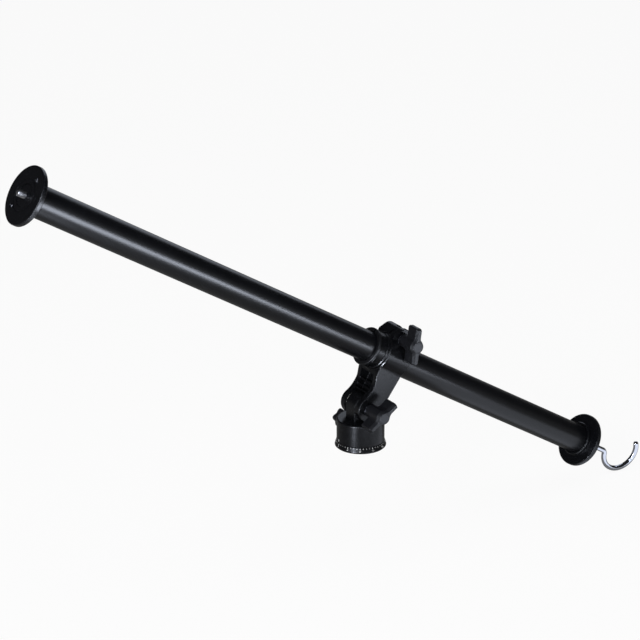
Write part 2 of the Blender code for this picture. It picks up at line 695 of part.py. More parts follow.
def make_cap(name, radius, face, frame, finish):
    """The cap that snaps into a knob's face."""
    bottom = face - KNOB_CAP_SINK + CONTACT_GAP
    top = face + KNOB_CAP_RISE
    turned(f"{name}_cap", [
        (0.0, bottom), (radius, bottom), (radius, top - KNOB_CAP_RISE),
        (radius - KNOB_CAP_RISE, top), (0.0, top)], finish.cap, frame, SMALL_SEGMENTS)


def raise_face(shape, face, rise):
    """Moves one face along Z, leaves walls behind it and returns the lifted face."""
    lifted = bmesh.ops.extrude_discrete_faces(shape, faces=[face])["faces"][0]
    bmesh.ops.translate(shape, verts=lifted.verts, vec=(0, 0, rise))
    return lifted


def knob_nut_span(seat):
    """The moulded nut sits in the end of the stem."""
    return seat + CONTACT_GAP, seat + CONTACT_GAP + KNOB_NUT_LENGTH


def bolt_end(seat):
    return seat + BOLT_REACH


def make_knob_set(name, diameter, seat_plane, angle, frame, finish):
    """A lock knob with its cap, its moulded nut and the washer under it."""
    seat = seat_plane + KNOB_SEAT
    bolt = diameter / 2 + CONTACT_GAP
    start, end = knob_nut_span(seat)
    bore = rod(f"{name}_knob_bore", bolt, seat - 0.01, bolt_end(seat) + 2 * CONTACT_GAP, frame)
    nut = extruded(f"{name}_nut_socket", hexagon(nut_flats(diameter) + 2 * CONTACT_GAP),
                   seat - 0.01, end + CONTACT_GAP, None, frame)
    fuse(bore, nut)
    make_wing_knob(f"{name}_knob", frame, finish, seat, angle, bore)
    nut_body = extruded(f"{name}_knob_nut", hexagon(nut_flats(diameter)), start, end,
                        finish.brass, frame)
    cut(nut_body, rod(f"{name}_nut_bore", bolt, start - 0.01, end + 0.01, frame))
    washer = seat_plane + CONTACT_GAP
    turned(f"{name}_washer", [
        (bolt, washer), (WASHER_RADIUS, washer), (WASHER_RADIUS, washer + WASHER_THICKNESS),
        (bolt, washer + WASHER_THICKNESS)], finish.blued, frame, SMALL_SEGMENTS)


def pan_shoe_start():
    """The shoe bears on the spindle's head, in its shallow groove."""
    return SPINDLE_HEAD_DIAMETER / 2 + CONTACT_GAP


def pan_shoe_end():
    return pan_shoe_start() + PAN_SHOE_LENGTH


def lobed_outline():
    """A wavy circle with one crest for each lobe."""
    crest = PAN_KNOB_DIAMETER / 2
    swing = PAN_KNOB_LOBE_DEPTH / 2
    count = PAN_KNOB_LOBES * 8
    outline = []
    for number in range(count):
        angle = 2 * pi * number / count
        radius = crest - swing + swing * cos(PAN_KNOB_LOBES * angle)
        outline.append((radius * cos(angle), radius * sin(angle)))
    return outline


def make_pan_lock(frame, finish):
    """The brake shoe, its screw and the lobed knob behind the base."""
    shoe = PAN_SHOE_DIAMETER / 2
    turned("pan_shoe", [(0.0, pan_shoe_start()), (shoe, pan_shoe_start()),
                        (shoe, pan_shoe_end()), (0.0, pan_shoe_end())],
           finish.brass, frame, SMALL_SEGMENTS)
    seat = BODY_DIAMETER / 2 + PAN_KNOB_STAND_OFF
    screw_start = pan_shoe_end() + 2 * CONTACT_GAP
    screw_end = seat + PAN_SCREW_REACH
    radius = PAN_SCREW_DIAMETER / 2
    turned("pan_screw", thread_profile(radius, screw_start, screw_end, radius / 4),
           finish.steel, frame, SMALL_SEGMENTS)
    stem_top = seat + PAN_KNOB_STEM_LENGTH
    face = stem_top + PAN_KNOB_DEPTH
    knob = extruded("pan_knob", lobed_outline(), stem_top, face, finish.knob, frame,
                    bevel=PAN_KNOB_EDGE)
    fuse(knob, knob_stem("pan_knob", PAN_KNOB_STEM_DIAMETER / 2, seat, stem_top, frame))
    bore = rod("pan_knob_bore", radius + CONTACT_GAP, seat - 0.01, screw_end + CONTACT_GAP,
               frame)
    cut(knob, cap_socket("pan_knob", PAN_CAP_DIAMETER / 2, face, frame), bore)
    knob.rotation_euler = (0, 0, PAN_KNOB_ANGLE)
    make_cap("pan_knob", PAN_CAP_DIAMETER / 2, face, frame, finish)


# Arm

def make_tube(frame, finish):
    start, end = tube_ends()
    edge = 0.0003
    turned("arm_tube", [
        (TUBE_BORE_RADIUS, start), (TUBE_RADIUS - edge, start), (TUBE_RADIUS, start + edge),
        (TUBE_RADIUS, end - edge), (TUBE_RADIUS - edge, end), (TUBE_BORE_RADIUS, end)],
        finish.anodised, frame)


def tube_ends():
    """The tube stops in the counterbore of each plate's boss."""
    inset = PLATE_THICKNESS + CONTACT_GAP
    return HEAD_FACE + inset, HOOK_FACE - inset


def plate_back_profile(inner):
    """A plate from its rim inwards over its boss and spigot. Height 0 is its outer face."""
    boss = TUBE_RADIUS + BOSS_WALL
    seat = TUBE_RADIUS + CONTACT_GAP
    edge = PLATE_CHAMFER
    boss_top = PLATE_THICKNESS + BOSS_HEIGHT
    spigot_top = PLATE_THICKNESS + SPIGOT_LENGTH
    return [(PLATE_RADIUS - edge, 0.0), (PLATE_RADIUS, edge),
            (PLATE_RADIUS, PLATE_THICKNESS - edge), (PLATE_RADIUS - edge, PLATE_THICKNESS),
            (boss, PLATE_THICKNESS), (boss, boss_top - edge), (boss - edge, boss_top),
            (seat, boss_top), (seat, PLATE_THICKNESS), (SPIGOT_RADIUS, PLATE_THICKNESS),
            (SPIGOT_RADIUS, spigot_top), (inner, spigot_top)]


def make_head_plate(frame, finish):
    """The upper plate: a bore for the stud bush, a ring groove and two set screw holes."""
    bush = STUD_BUSH_DIAMETER / 2 + CONTACT_GAP
    inner = (RING_GROOVE_DIAMETER - RING_GROOVE_WIDTH) / 2
    outer = (RING_GROOVE_DIAMETER + RING_GROOVE_WIDTH) / 2
    profile = plate_back_profile(bush)
    profile += [(bush, 0.0), (inner, 0.0), (inner, RING_GROOVE_DEPTH),
                (outer, RING_GROOVE_DEPTH), (outer, 0.0)]
    plate = turned("head_plate", profile, finish.anodised, frame)
    for number in range(2):
        hole = rod(f"set_screw_hole_{number + 1}", SET_SCREW_DIAMETER / 2 + CONTACT_GAP,
                   -0.01, PLATE_THICKNESS + 0.001, frame)
        cut(plate, placed(hole, set_screw_place(number)))
    return plate


def set_screw_place(number):
    """Places in the plate's frame, on their circle."""
    angle = SET_SCREW_ANGLES[number]
    radius = SET_SCREW_CIRCLE / 2
    return (radius * cos(angle), radius * sin(angle), 0.0)


def make_head_hardware(frame, finish):
    """Stud bush, the threaded stud, and the set screws with their sockets."""
    bush = STUD_BUSH_DIAMETER / 2
    stud = STUD_DIAMETER / 2
    bore = stud + CONTACT_GAP
    top = STUD_BUSH_SINK
    edge = 0.0006
    turned("stud_bush", [
        (bore + edge, top), (bush - edge, top), (bush, top + edge),
        (bush, top + STUD_BUSH_LENGTH), (bore, top + STUD_BUSH_LENGTH), (bore, top + edge)],
        finish.anodised, frame, MEDIUM_SEGMENTS)
    tip = STUD_DIAMETER / 8
    turned("head_stud", [
        (0.0, -STUD_PROTRUSION), (stud - tip, -STUD_PROTRUSION),
        (stud, tip - STUD_PROTRUSION), (stud, STUD_ENGAGEMENT), (0.0, STUD_ENGAGEMENT)],
        finish.steel, frame, SMALL_SEGMENTS)
    radius = SET_SCREW_DIAMETER / 2
    for number in range(2):
        screw = turned(f"set_screw_{number + 1}", [
            (0.0, SET_SCREW_SINK), (radius - 0.0003, SET_SCREW_SINK),
            (radius, SET_SCREW_SINK + 0.0003), (radius, PLATE_THICKNESS - 0.0005),
            (0.0, PLATE_THICKNESS - 0.0005)], finish.steel, frame, 16)
        key = extruded(f"set_screw_key_{number + 1}", hexagon(SET_SCREW_DIAMETER / 2),
                       0.0, SET_SCREW_SINK + 0.0015, None, frame)
        place = set_screw_place(number)
        cut(placed(screw, place), placed(key, place))


def make_hook_plate(frame, finish):
    """The lower plate, with a central bore for the hook's shank."""
    bore = HOOK_WIRE / 2 + CONTACT_GAP
    inner = SPIGOT_RADIUS - SPIGOT_WALL
    profile = plate_back_profile(inner)
    profile += [(inner, PLATE_THICKNESS + 0.001), (bore, PLATE_THICKNESS + 0.001), (bore, 0.0)]
    turned("hook_plate", profile, finish.anodised, frame)


def hook_path():
    """Centre line in the hook's own plane: x out along the shank, y across it.

    The shank runs straight, bends down on a small arc and runs into the round of the hook.
    """
    centre = Vector((HOOK_SHANK + HOOK_NECK_RADIUS + HOOK_RADIUS, HOOK_OFFSET))
    drop = HOOK_NECK_RADIUS + HOOK_OFFSET
    span = HOOK_RADIUS + HOOK_NECK_RADIUS
    reach = sqrt(span ** 2 - drop ** 2)
    neck = Vector((centre.x - reach, -HOOK_NECK_RADIUS))
    meet = atan2(neck.y - centre.y, neck.x - centre.x)
    tail = PLATE_THICKNESS + 0.001 + HOOK_NUT_HEIGHT + 2 * WASHER_THICKNESS
    points = [(-tail, 0.0), (-tail / 2, 0.0), (0.0, 0.0), (neck.x / 2, 0.0)]
    points += circle_points(HOOK_NECK_RADIUS, 7, pi / 2, meet + pi / 2, neck, closed=False)
    points += circle_points(HOOK_RADIUS, 20, meet, HOOK_END_ANGLE - meet, centre,
                            closed=False)[1:]
    return points


def hook_tip():
    """The wire's rounded end: more points along the last tangent, each a little thinner."""
    end_x = HOOK_SHANK + HOOK_NECK_RADIUS + HOOK_RADIUS + HOOK_RADIUS * cos(HOOK_END_ANGLE)
    end_y = HOOK_OFFSET + HOOK_RADIUS * sin(HOOK_END_ANGLE)
    heading = HOOK_END_ANGLE + pi / 2
    points = []
    for angle in (radians(30), radians(55), radians(75)):
        step = HOOK_WIRE / 2 * sin(angle)
        points.append((end_x + step * cos(heading), end_y + step * sin(heading), cos(angle)))
    return points


def make_hook(frame, finish):
    """Bent wire with a round tip, a retaining washer and nut behind the plate."""
    curve = bpy.data.curves.new("hook", "CURVE")
    curve.dimensions = "3D"
    curve.bevel_depth = HOOK_WIRE / 2
    curve.bevel_resolution = HOOK_SIDES
    curve.use_fill_caps = True
    spline = curve.splines.new("POLY")
    path = [(along, across, 1.0) for along, across in hook_path()] + hook_tip()
    spline.points.add(len(path) - 1)
    for point, (along, across, swell) in zip(spline.points, path):
        point.co = (-across * cos(HOOK_TWIST), -across * sin(HOOK_TWIST), along, 1.0)
        point.radius = swell
    curve.materials.append(finish.chrome)
    hook = bpy.data.objects.new("hook", curve)
    hook.parent = frame
    bpy.context.scene.collection.objects.link(hook)
    back = -(PLATE_THICKNESS + 0.001)
    bore = HOOK_WIRE / 2 + CONTACT_GAP
    washer = back - CONTACT_GAP
    turned("hook_washer", [
        (bore, washer - WASHER_THICKNESS), (HOOK_NUT_FLATS * 0.6, washer - WASHER_THICKNESS),
        (HOOK_NUT_FLATS * 0.6, washer), (bore, washer)], finish.steel, frame, SMALL_SEGMENTS)
    start = washer - WASHER_THICKNESS - CONTACT_GAP
    nut = extruded("hook_nut", hexagon(HOOK_NUT_FLATS), start - HOOK_NUT_HEIGHT, start,
                   finish.steel, frame)
    cut(nut, rod("hook_nut_bore", bore, start - 0.02, start + 0.02, frame))


# Assembly

def build():
    clear_scene()
    finish = Finish()
    pan_axis = frame_empty("pan_axis", (0, 0, 0), (0, 0, 0))
    make_dial_ring(pan_axis, finish)
    make_spindle(pan_axis, finish)
    make_base_hardware(pan_axis, finish)
    make_thrust_washer(pan_axis, finish)
    make_spindle_ring(pan_axis, finish)
    pan_lock_axis = frame_empty("pan_lock_axis", (0, 0, PAN_SCREW_HEIGHT), (-pi / 2, 0, 0),
                                pan_axis)
    make_housing(pan_axis, pan_lock_axis, finish)
    make_pan_lock(pan_lock_axis, finish)

    tilt_axis = frame_empty("tilt_axis", (0, 0, TILT_HEIGHT), (0, ARM_SLOPE, 0), pan_axis)
    tilt_bolt_axis = frame_empty("tilt_bolt_axis", (0, 0, 0), (pi / 2, 0, 0), tilt_axis)
    tube_axis = frame_empty("tube_axis", (0, 0, NECK_HEIGHT), (0, pi / 2, 0), tilt_axis)
    clamp_axis = frame_empty("clamp_axis", (CLAMP_POSITION, 0, NECK_HEIGHT + CLAMP_HEIGHT),
                             (pi / 2, 0, 0), tilt_axis)
    make_tilt_bush(tilt_bolt_axis, finish)
    make_bracket(tilt_axis, tube_axis, tilt_bolt_axis, clamp_axis, finish)
    make_liner(tube_axis, tilt_axis, finish)
    make_friction_washers(tilt_bolt_axis, finish)

    half = FORK_WIDTH / 2
    tilt_end = bolt_end(half + KNOB_SEAT)
    make_bolt("tilt_bolt", TILT_BOLT_DIAMETER, CONTACT_GAP - half, tilt_end, tilt_bolt_axis,
              finish)
    make_knob_set("tilt", TILT_BOLT_DIAMETER, half, TILT_KNOB_ANGLE + ARM_SLOPE, tilt_bolt_axis,
                  finish)
    clamp_end = bolt_end(CLAMP_FRONT + KNOB_SEAT)
    make_bolt("clamp_bolt", CLAMP_BOLT_DIAMETER, CONTACT_GAP - CLAMP_BACK, clamp_end, clamp_axis,
              finish)
    make_knob_set("clamp", CLAMP_BOLT_DIAMETER, CLAMP_FRONT, CLAMP_KNOB_ANGLE + ARM_SLOPE,
                  clamp_axis, finish)

    head_frame = frame_empty("head_end", (0, 0, HEAD_FACE), (0, 0, 0), tube_axis)
    hook_frame = frame_empty("hook_end", (0, 0, HOOK_FACE), (pi, 0, 0), tube_axis)
    hook_axis = frame_empty("hook_axis", (0, 0, HOOK_FACE), (0, 0, 0), tube_axis)
    make_tube(tube_axis, finish)
    make_head_plate(head_frame, finish)
    make_head_hardware(head_frame, finish)
    make_hook_plate(hook_frame, finish)
    make_hook(hook_axis, finish)


build()
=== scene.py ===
"""Looks of a tripod extension arm: a black tube in a tilting clamp on a panning base."""

from math import acos, atan2, cos, pi, radians, sin, sqrt

import bmesh
import bpy
from bpy.props import FloatProperty, FloatVectorProperty, IntProperty, PointerProperty
from mathutils import Matrix, Vector
from mathutils.geometry import interpolate_bezier


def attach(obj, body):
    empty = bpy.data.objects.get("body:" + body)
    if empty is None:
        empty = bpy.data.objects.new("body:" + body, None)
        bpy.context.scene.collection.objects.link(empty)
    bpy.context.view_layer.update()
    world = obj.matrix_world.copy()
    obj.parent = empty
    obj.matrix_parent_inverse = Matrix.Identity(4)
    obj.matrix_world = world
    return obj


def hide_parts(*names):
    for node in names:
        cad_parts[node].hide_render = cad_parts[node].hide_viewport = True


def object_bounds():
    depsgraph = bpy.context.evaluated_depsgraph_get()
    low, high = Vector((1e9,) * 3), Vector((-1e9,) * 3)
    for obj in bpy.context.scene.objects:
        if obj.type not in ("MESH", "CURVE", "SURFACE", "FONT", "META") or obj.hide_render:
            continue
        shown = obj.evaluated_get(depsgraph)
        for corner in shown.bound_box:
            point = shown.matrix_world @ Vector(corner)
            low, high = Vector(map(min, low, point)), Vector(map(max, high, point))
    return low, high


bl_info = {
    "name": "Tripod extension arm",
    "version": (1, 0, 0),
    "blender": (4, 5, 0),
    "location": "3D View > Sidebar > Arm",
    "description": "Builds the finished pieces of a tripod extension arm on its CAD frame",
    "category": "Object",
}

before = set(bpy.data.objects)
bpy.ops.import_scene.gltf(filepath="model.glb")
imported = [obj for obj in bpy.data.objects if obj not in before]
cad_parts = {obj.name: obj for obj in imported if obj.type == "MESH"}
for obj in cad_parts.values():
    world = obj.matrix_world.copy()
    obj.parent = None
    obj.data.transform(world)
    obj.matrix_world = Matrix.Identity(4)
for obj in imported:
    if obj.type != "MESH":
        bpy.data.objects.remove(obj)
CAD_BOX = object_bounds()

# Arm
TUBE_RADIUS = 0.015
TUBE_WALL = 0.0015
ARM_SLOPE = radians(31.1)
HEAD_FACE = -0.4415
HOOK_FACE = 0.2915

# End plates
PLATE_RADIUS = 0.028
PLATE_THICKNESS = 0.005
PLATE_CHAMFER = 0.0008
BOSS_RADIUS = 0.018
BOSS_HEIGHT = 0.004
SPIGOT_LENGTH = 0.014
SPIGOT_WALL = 0.003
SPIGOT_FLOOR = PLATE_THICKNESS + 0.001
RING_GROOVE_RADIUS = 0.0154
RING_GROOVE_WIDTH = 0.0008
RING_GROOVE_DEPTH = 0.0008
STUD_BUSH_RADIUS = 0.0106
STUD_BUSH_LENGTH = 0.014
STUD_BUSH_SINK = 0.0003
STUD_BUSH_EDGE = 0.0005
STUD_RADIUS = 0.003175
STUD_PROTRUSION = 0.007
STUD_ENGAGEMENT = 0.008
STUD_CHAMFER = 0.0003
STUD_POINT = 0.0004
SET_SCREW_RADIUS = 0.002
SET_SCREW_KEY = 0.0022
SET_SCREW_KEY_DEPTH = 0.0015
SET_SCREW_EDGE = 0.0003
SET_SCREW_CIRCLE = 0.0183
SET_SCREW_SINK = 0.0008
SET_SCREW_END = PLATE_THICKNESS - 0.0005
SET_SCREW_ANGLES = (radians(42), radians(207))

# Hook
WIRE_RADIUS = 0.00275
HOOK_SHANK = 0.0310
HOOK_RADIUS = 0.0204
HOOK_OFFSET = 0.0062
HOOK_NECK_RADIUS = 0.0062
HOOK_END_ANGLE = radians(46)
HOOK_TWIST = radians(9)
HOOK_TAIL = 0.0134

# Collar and liner, along the tube from the tilt axis
LINER_WALL = 0.0012
FLANGE_RADIUS = 0.0193
FLANGE_WIDTH = 0.0026
LINER_EDGE = 0.0003
SLEEVE_RADIUS = 0.0184
SLEEVE_LENGTH = 0.0115
STEP_RADIUS = 0.0194
STEP_LENGTH = 0.003
BLOCK_RADIUS = 0.0205
BLOCK_START = -0.012
BLOCK_END = 0.017
SLEEVE_CHAMFER = 0.0006
STEP_CHAMFER = 0.0005
BLOCK_CHAMFER = 0.0007
SLOT_WIDTH = 0.0018
SLOT_OFFSET = 0.0017
CLAMP_POSITION = 0.003
CLAMP_HEIGHT = 0.0207
CLAMP_FRONT = 0.0115
CLAMP_BACK = 0.017
BORE_STOCK = 0.002
EAR_RADIUS = 0.0086
EAR_HEIGHT = 0.0226
EAR_ROOT = 0.007
EAR_TOE_START = -0.0086
EAR_TOE_HEIGHT = 0.0210
EAR_ROUNDING = 0.0008
SADDLE_RADIUS = 0.0075
SADDLE_DEPTH = 0.0022
SADDLE_REACH = 0.02

# Neck and fork
TILT_HEIGHT = 0.0423
NECK_HEIGHT = 0.055
FORK_HALF = 0.0165
FORK_RADIUS = 0.013
WAIST_HEIGHT = 0.022
WAIST_LEFT = 0.0078
NECK_FOOT_ANGLE = radians(152)
NECK_INSET = 0.0002
NECK_ROUNDING = 0.0009
FOOT_PULL = 0.005
WAIST_PULL = 0.006
HEAD_PULL = 0.010
POCKET_DEPTH = 0.009
POCKET_WIDTH = 0.0215
POCKET_BOTTOM = 0.0145
POCKET_TOP = 0.033
POCKET_ROUNDING = 0.0007
RIB_HEIGHTS = (0.0178, 0.0236)
RIB_THICKNESS = 0.0018
RIB_SINK = 0.0008
BOLT_RADIUS = 0.003
BOLT_HEAD_FLATS = 0.00975
BOLT_HEAD_HEIGHT = 0.004
BOLT_REACH = 0.0125
BOLT_PITCH = 0.001
BOLT_THREAD_DEPTH = 0.0006
BOLT_HEAD_EDGE = 0.00035
BOLT_BARE = 0.001

# Base
BODY_RADIUS = 0.0236
BODY_BOTTOM = 0.0063
BODY_TOP = 0.0286
BODY_CORNER = 0.0014
TONGUE_HALF = 0.008
TONGUE_RADIUS = 0.0122
TONGUE_BORE = 0.0051
TONGUE_EDGE = 0.0006
TONGUE_SINK = 0.001
DIAL_RADIUS = 0.02535
DIAL_TOP_RADIUS = 0.0239
DIAL_HEIGHT = 0.006
DIAL_LOWER = 0.0016
DIAL_EDGE = 0.0008
DIAL_SCREW_CIRCLE = 0.010
DIAL_SCREW_RADIUS = 0.0015
DIAL_SCREW_HEAD = 0.0024
DIAL_SCREW_LENGTH = 0.011
DIAL_SCREW_COUNT = 3
DIAL_SCREW_CROSS = (0.0015, 0.00033, 0.0014)
INSERT_RADIUS = 0.00625
INSERT_BORE = 0.00475
INSERT_LENGTH = 0.011
INSERT_THREAD_DEPTH = 0.0006
SKIRT_RADIUS = 0.0203
SKIRT_TOP = 0.0077
RING_SPACE_RADIUS = 0.0183
RING_SPACE_TOP = 0.0118
HEAD_SPACE_RADIUS = 0.0158
HEAD_SPACE_TOP = 0.0211
INDEX_LINE = (0.0008, 0.0074, 0.0095)
INDEX_SINK = 0.0002
INDEX_RISE = 0.00006
INDEX_ANGLE = radians(173)

# Marks on the dial: length and width, then where they lie
LONG_MARK = (0.0017, 0.00042)
SHORT_MARK = (0.0011, 0.00032)
MARKS_BETWEEN_NUMBERS = 4
MARK_SINK = 0.00008
MARK_RISE = 0.00003
MARK_TOP = DIAL_HEIGHT - 0.00035
NUMBER_DROP = 0.0028
NUMBER_THICKNESS = 0.00005

# Wing knobs
KNOB_LENGTH = 0.037
WING_WIDTH = 0.0062
HUB_RADIUS = 0.0073
WING_BLEND = 0.006
WING_CORNER = 0.0018
KNOB_DEPTH = 0.016
KNOB_STEM_RADIUS = 0.00675
KNOB_STEM_LENGTH = 0.008
KNOB_STEP_INSET = 0.00045
KNOB_STEP_DEPTH = 0.00095
KNOB_STEPS = 3
KNOB_EDGE = 0.00028
STEM_CHAMFER = 0.0006
STEM_OVERLAP = 0.0006
STEM_BORE_PAST = 0.001
STEM_TAPER = 0.94
NUT_FLATS = 2.76 * BOLT_RADIUS
NUT_DEPTH = 0.0066
CAP_RADIUS = 0.0054
CAP_RISE = 0.0002
CAP_SINK = 0.0012
CAP_DISH = 0.00012
CAP_RING = (0.86, 0.84)
WASHER_THICKNESS = 0.0012
TILT_KNOB_ANGLE = radians(35)
CLAMP_KNOB_ANGLE = radians(82)

# Pan lock
PAN_SCREW_HEIGHT = 0.016
PAN_SCREW_RADIUS = 0.0025
PAN_SCREW_REACH = 0.0075
PAN_SCREW_PITCH = 0.0008
PAN_SCREW_THREAD_DEPTH = 0.0005
PAN_SCREW_HOLE_START = 0.0078
PAN_SHOE_RADIUS = 0.0035
PAN_SHOE_END = 0.0188
PAN_LOCK_TRAVEL = 0.00125
PAN_KNOB_CREST = 0.0097
PAN_KNOB_LOBES = 5
PAN_KNOB_LOBE_DEPTH = 0.0023
PAN_KNOB_DEPTH = 0.0096
PAN_KNOB_EDGE = 0.001
PAN_STEM_RADIUS = 0.0055
PAN_STEM_LENGTH = 0.003
PAN_STAND_OFF = 0.0008
PAN_KNOB_ANGLE = radians(-96)
PAN_CAP_RADIUS = 0.004

# Camera
CAMERA_LENS = 134.04
CAMERA_PLACE = (-1.1808, -1.7982, 0.9492)
CAMERA_TURN = (radians(69.17), 0.0, radians(-32.23))

# Lamps, floor and background
CARD_COLOUR = (0.81, 0.87, 1.0)
FILL_COLOUR = (1.0, 1.0, 1.0)
FLOOR_DROP = 0.0004
FLOOR_WHITE_SHARE = 0.91
FLOOR_REFLECTED = 0.16
HORIZON_LIGHT = 0.2
CEILING_LIGHT = 0.015
CEILING_START = 0.22
WORLD_LIGHT = 0.42

# Clearances, and how far cutters reach past what they cut
GAP = 0.0003
THREAD_SINK = 0.0001
THREAD_END = 0.0002
THREAD_ROOT_HALF = 0.46
THREAD_CREST_HALF = 0.07
PAST = 0.01
THROUGH = 0.03
FAR = 0.05
CASTING_EDGE = 0.00022
FINE_EDGE = 0.00015
FINE_EDGE_SHARE = 0.6
SHARP_ANGLE = radians(38)
KNOB_SEAT = 2 * GAP + WASHER_THICKNESS
SLEEVE_START = BLOCK_START - SLEEVE_LENGTH
FLANGE_START = SLEEVE_START - GAP - FLANGE_WIDTH
LINER_BORE = TUBE_RADIUS + GAP
COLLAR_BORE = LINER_BORE + LINER_WALL + GAP
FRICTION_WASHER = 0.0008
FORK_GAP = TONGUE_HALF + 2 * GAP + FRICTION_WASHER
FORK_SADDLE = TONGUE_RADIUS + 0.0009

# Frames of the axes, as in the CAD model
BASE = Matrix.Identity(4)
UPRIGHT = Matrix.Rotation(pi / 2, 4, "X")
TILT = Matrix.Translation((0, 0, TILT_HEIGHT)) @ Matrix.Rotation(ARM_SLOPE, 4, "Y")
TUBE = TILT @ Matrix.Translation((0, 0, NECK_HEIGHT)) @ Matrix.Rotation(pi / 2, 4, "Y")
TILT_BOLT = TILT @ UPRIGHT
CLAMP = TILT @ Matrix.Translation((CLAMP_POSITION, 0, NECK_HEIGHT + CLAMP_HEIGHT)) @ UPRIGHT
PAN_LOCK = Matrix.Translation((0, 0, PAN_SCREW_HEIGHT)) @ Matrix.Rotation(-pi / 2, 4, "X")
HEAD = TUBE @ Matrix.Translation((0, 0, HEAD_FACE))
HOOK = TUBE @ Matrix.Translation((0, 0, HOOK_FACE))
HOOK_PLATE = HOOK @ Matrix.Rotation(pi, 4, "X")

ROUND = 128
SMALL_ROUND = 48


# Sizes and colours

def length_setting(name, description, default, low, high):
    return FloatProperty(name=name, description=description, default=default, min=low,
                         max=high, precision=5, unit="LENGTH")


def colour_setting(name, description, default):
    return FloatVectorProperty(name=name, description=description, default=default, size=3,
                               min=0, max=1, subtype="COLOR")


class ArmSizes(bpy.types.PropertyGroup):
    """Fine sizes that the CAD model leaves out."""

    edge: length_setting("Broken edge", "Width of the broken edge on turned pieces",
                         0.00025, 0.0001, 0.0004)
    stud_pitch: length_setting("Stud pitch", "Thread pitch of the upper plate's stud",
                               0.00127, 0.0008, 0.002)
    insert_pitch: length_setting("Insert pitch", "Thread pitch of the base's insert",
                                 0.00159, 0.001, 0.0025)
    dial_figure: length_setting("Dial figures", "Height of the numbers on the dial",
                                0.0019, 0.001, 0.0022)
    dial_step: IntProperty(
        name="Dial marks", description="How many marks go round the dial",
        default=48, min=12, max=120)
    dial_turn: FloatProperty(
        name="Dial zero", description="Direction of the dial's zero, seen from above",
        default=radians(176.2), subtype="ANGLE", unit="ROTATION")


class ArmColours(bpy.types.PropertyGroup):
    """Colours of the finishes."""

    anodised: colour_setting("Anodised tube", "Satin black of the tube and plates",
                             (0.0028, 0.0031, 0.0045))
    casting: colour_setting("Castings", "Black coating of the bracket and the housing",
                            (0.0036, 0.0039, 0.0050))
    dial: colour_setting("Dial", "Gloss black of the scale ring", (0.0030, 0.0032, 0.0038))
    knob: colour_setting("Knobs", "Moulded plastic of the knobs", (0.0060, 0.0064, 0.0086))
    cap: colour_setting("Knob caps", "Greyer plastic of the knobs' caps",
                        (0.0200, 0.0210, 0.0265))
    liner: colour_setting("Liner", "Nylon of the split liner", (0.0045, 0.0048, 0.0058))
    marks: colour_setting("Marks", "Paint of the dial's marks and numbers",
                          (0.78, 0.79, 0.80))
    floor: colour_setting("Floor", "Pale floor under the arm", (0.90, 0.90, 0.90))


# Shader maths

class Value:
    """A socket of a shader tree. Python's operators on it add maths nodes."""

    def __init__(self, tree, socket):
        self.tree = tree
        self.socket = socket

    def maths(self, operation, *values):
        sockets = dict(enumerate(values))
        return self.tree.node("ShaderNodeMath", {"operation": operation}, sockets)

    def __add__(self, other):
        return self.maths("ADD", self, other)

    def __rsub__(self, other):
        return self.maths("SUBTRACT", other, self)

    def __mul__(self, other):
        return self.maths("MULTIPLY", self, other)

    __radd__ = __add__

    def ramp(self, low, high):
        """Runs from 0 to 1, smoothly, as the value goes from low to high."""
        settings = {"interpolation_type": "SMOOTHSTEP", "clamp": True}
        return self.tree.node("ShaderNodeMapRange", settings,
                              {"Value": self, "From Min": low, "From Max": high})


class Tree:
    """Node tree of a material or of the world."""

    def __init__(self, owner):
        owner.use_nodes = True
        self.nodes = owner.node_tree.nodes
        self.links = owner.node_tree.links
        self.nodes.clear()

    def node(self, kind, settings=None, sockets=None, output=0):
        """Adds a node, gives it its settings, then its values or links."""
        made = self.nodes.new(kind)
        for key, value in (settings or {}).items():
            setattr(made, key, value)
        for key, value in (sockets or {}).items():
            socket = made.inputs[key]
            if isinstance(value, Value):
                self.links.new(value.socket, socket)
            else:
                socket.default_value = value
        return None if output is None else Value(self, made.outputs[output])

    def position(self, place):
        """Object coordinates in a piece's own frame."""
        back = place.inverted()
        point = self.node("ShaderNodeTexCoord", output="Object")
        return self.node("ShaderNodeMapping", {"vector_type": "POINT"},
                         {"Vector": point, "Location": back.translation,
                          "Rotation": back.to_euler()})

    def noise(self, point, scale, detail=2.0, roughness=0.5, stretch=(1, 1, 1)):
        """Fractal noise with features about one over scale metres wide."""
        if stretch != (1, 1, 1):
            point = self.scaled(point, stretch)
        return self.node("ShaderNodeTexNoise", None,
                         {"Vector": point, "Scale": scale, "Detail": detail,
                          "Roughness": roughness})

    def mix(self, factor, first, second):
        """Blends two colours."""
        return self.node("ShaderNodeMix", {"data_type": "RGBA"},
                         {"Factor": factor, 6: colour4(first), 7: colour4(second)}, output=2)

    def bump(self, height, distance, strength=1.0, normal=None):
        sockets = {"Height": height, "Distance": distance, "Strength": strength}
        if normal:
            sockets["Normal"] = normal
        return self.node("ShaderNodeBump", None, sockets)

    def scaled(self, point, factors):
        return self.node("ShaderNodeVectorMath", {"operation": "MULTIPLY"},
                         {0: point, 1: factors})

    def radius(self, point):
        """Distance from the frame's Z axis."""
        flat = self.scaled(point, (1, 1, 0))
        return self.node("ShaderNodeVectorMath", {"operation": "LENGTH"}, {0: flat}, output=1)

    def round_path(self, point):
        """Radius and height as a point, so that a pattern made from it runs round Z."""
        height = self.node("ShaderNodeSeparateXYZ", None, {0: point}, output="Z")
        return self.node("ShaderNodeCombineXYZ", None, {"X": self.radius(point), "Y": height})

    def close(self, shader, kind="ShaderNodeOutputMaterial"):
        """Links the last shader to the tree's output."""
        self.node(kind, None, {"Surface": shader}, output=None)


def colour4(colour):
    return colour if isinstance(colour, Value) else (*colour[:3], 1.0)


# Materials

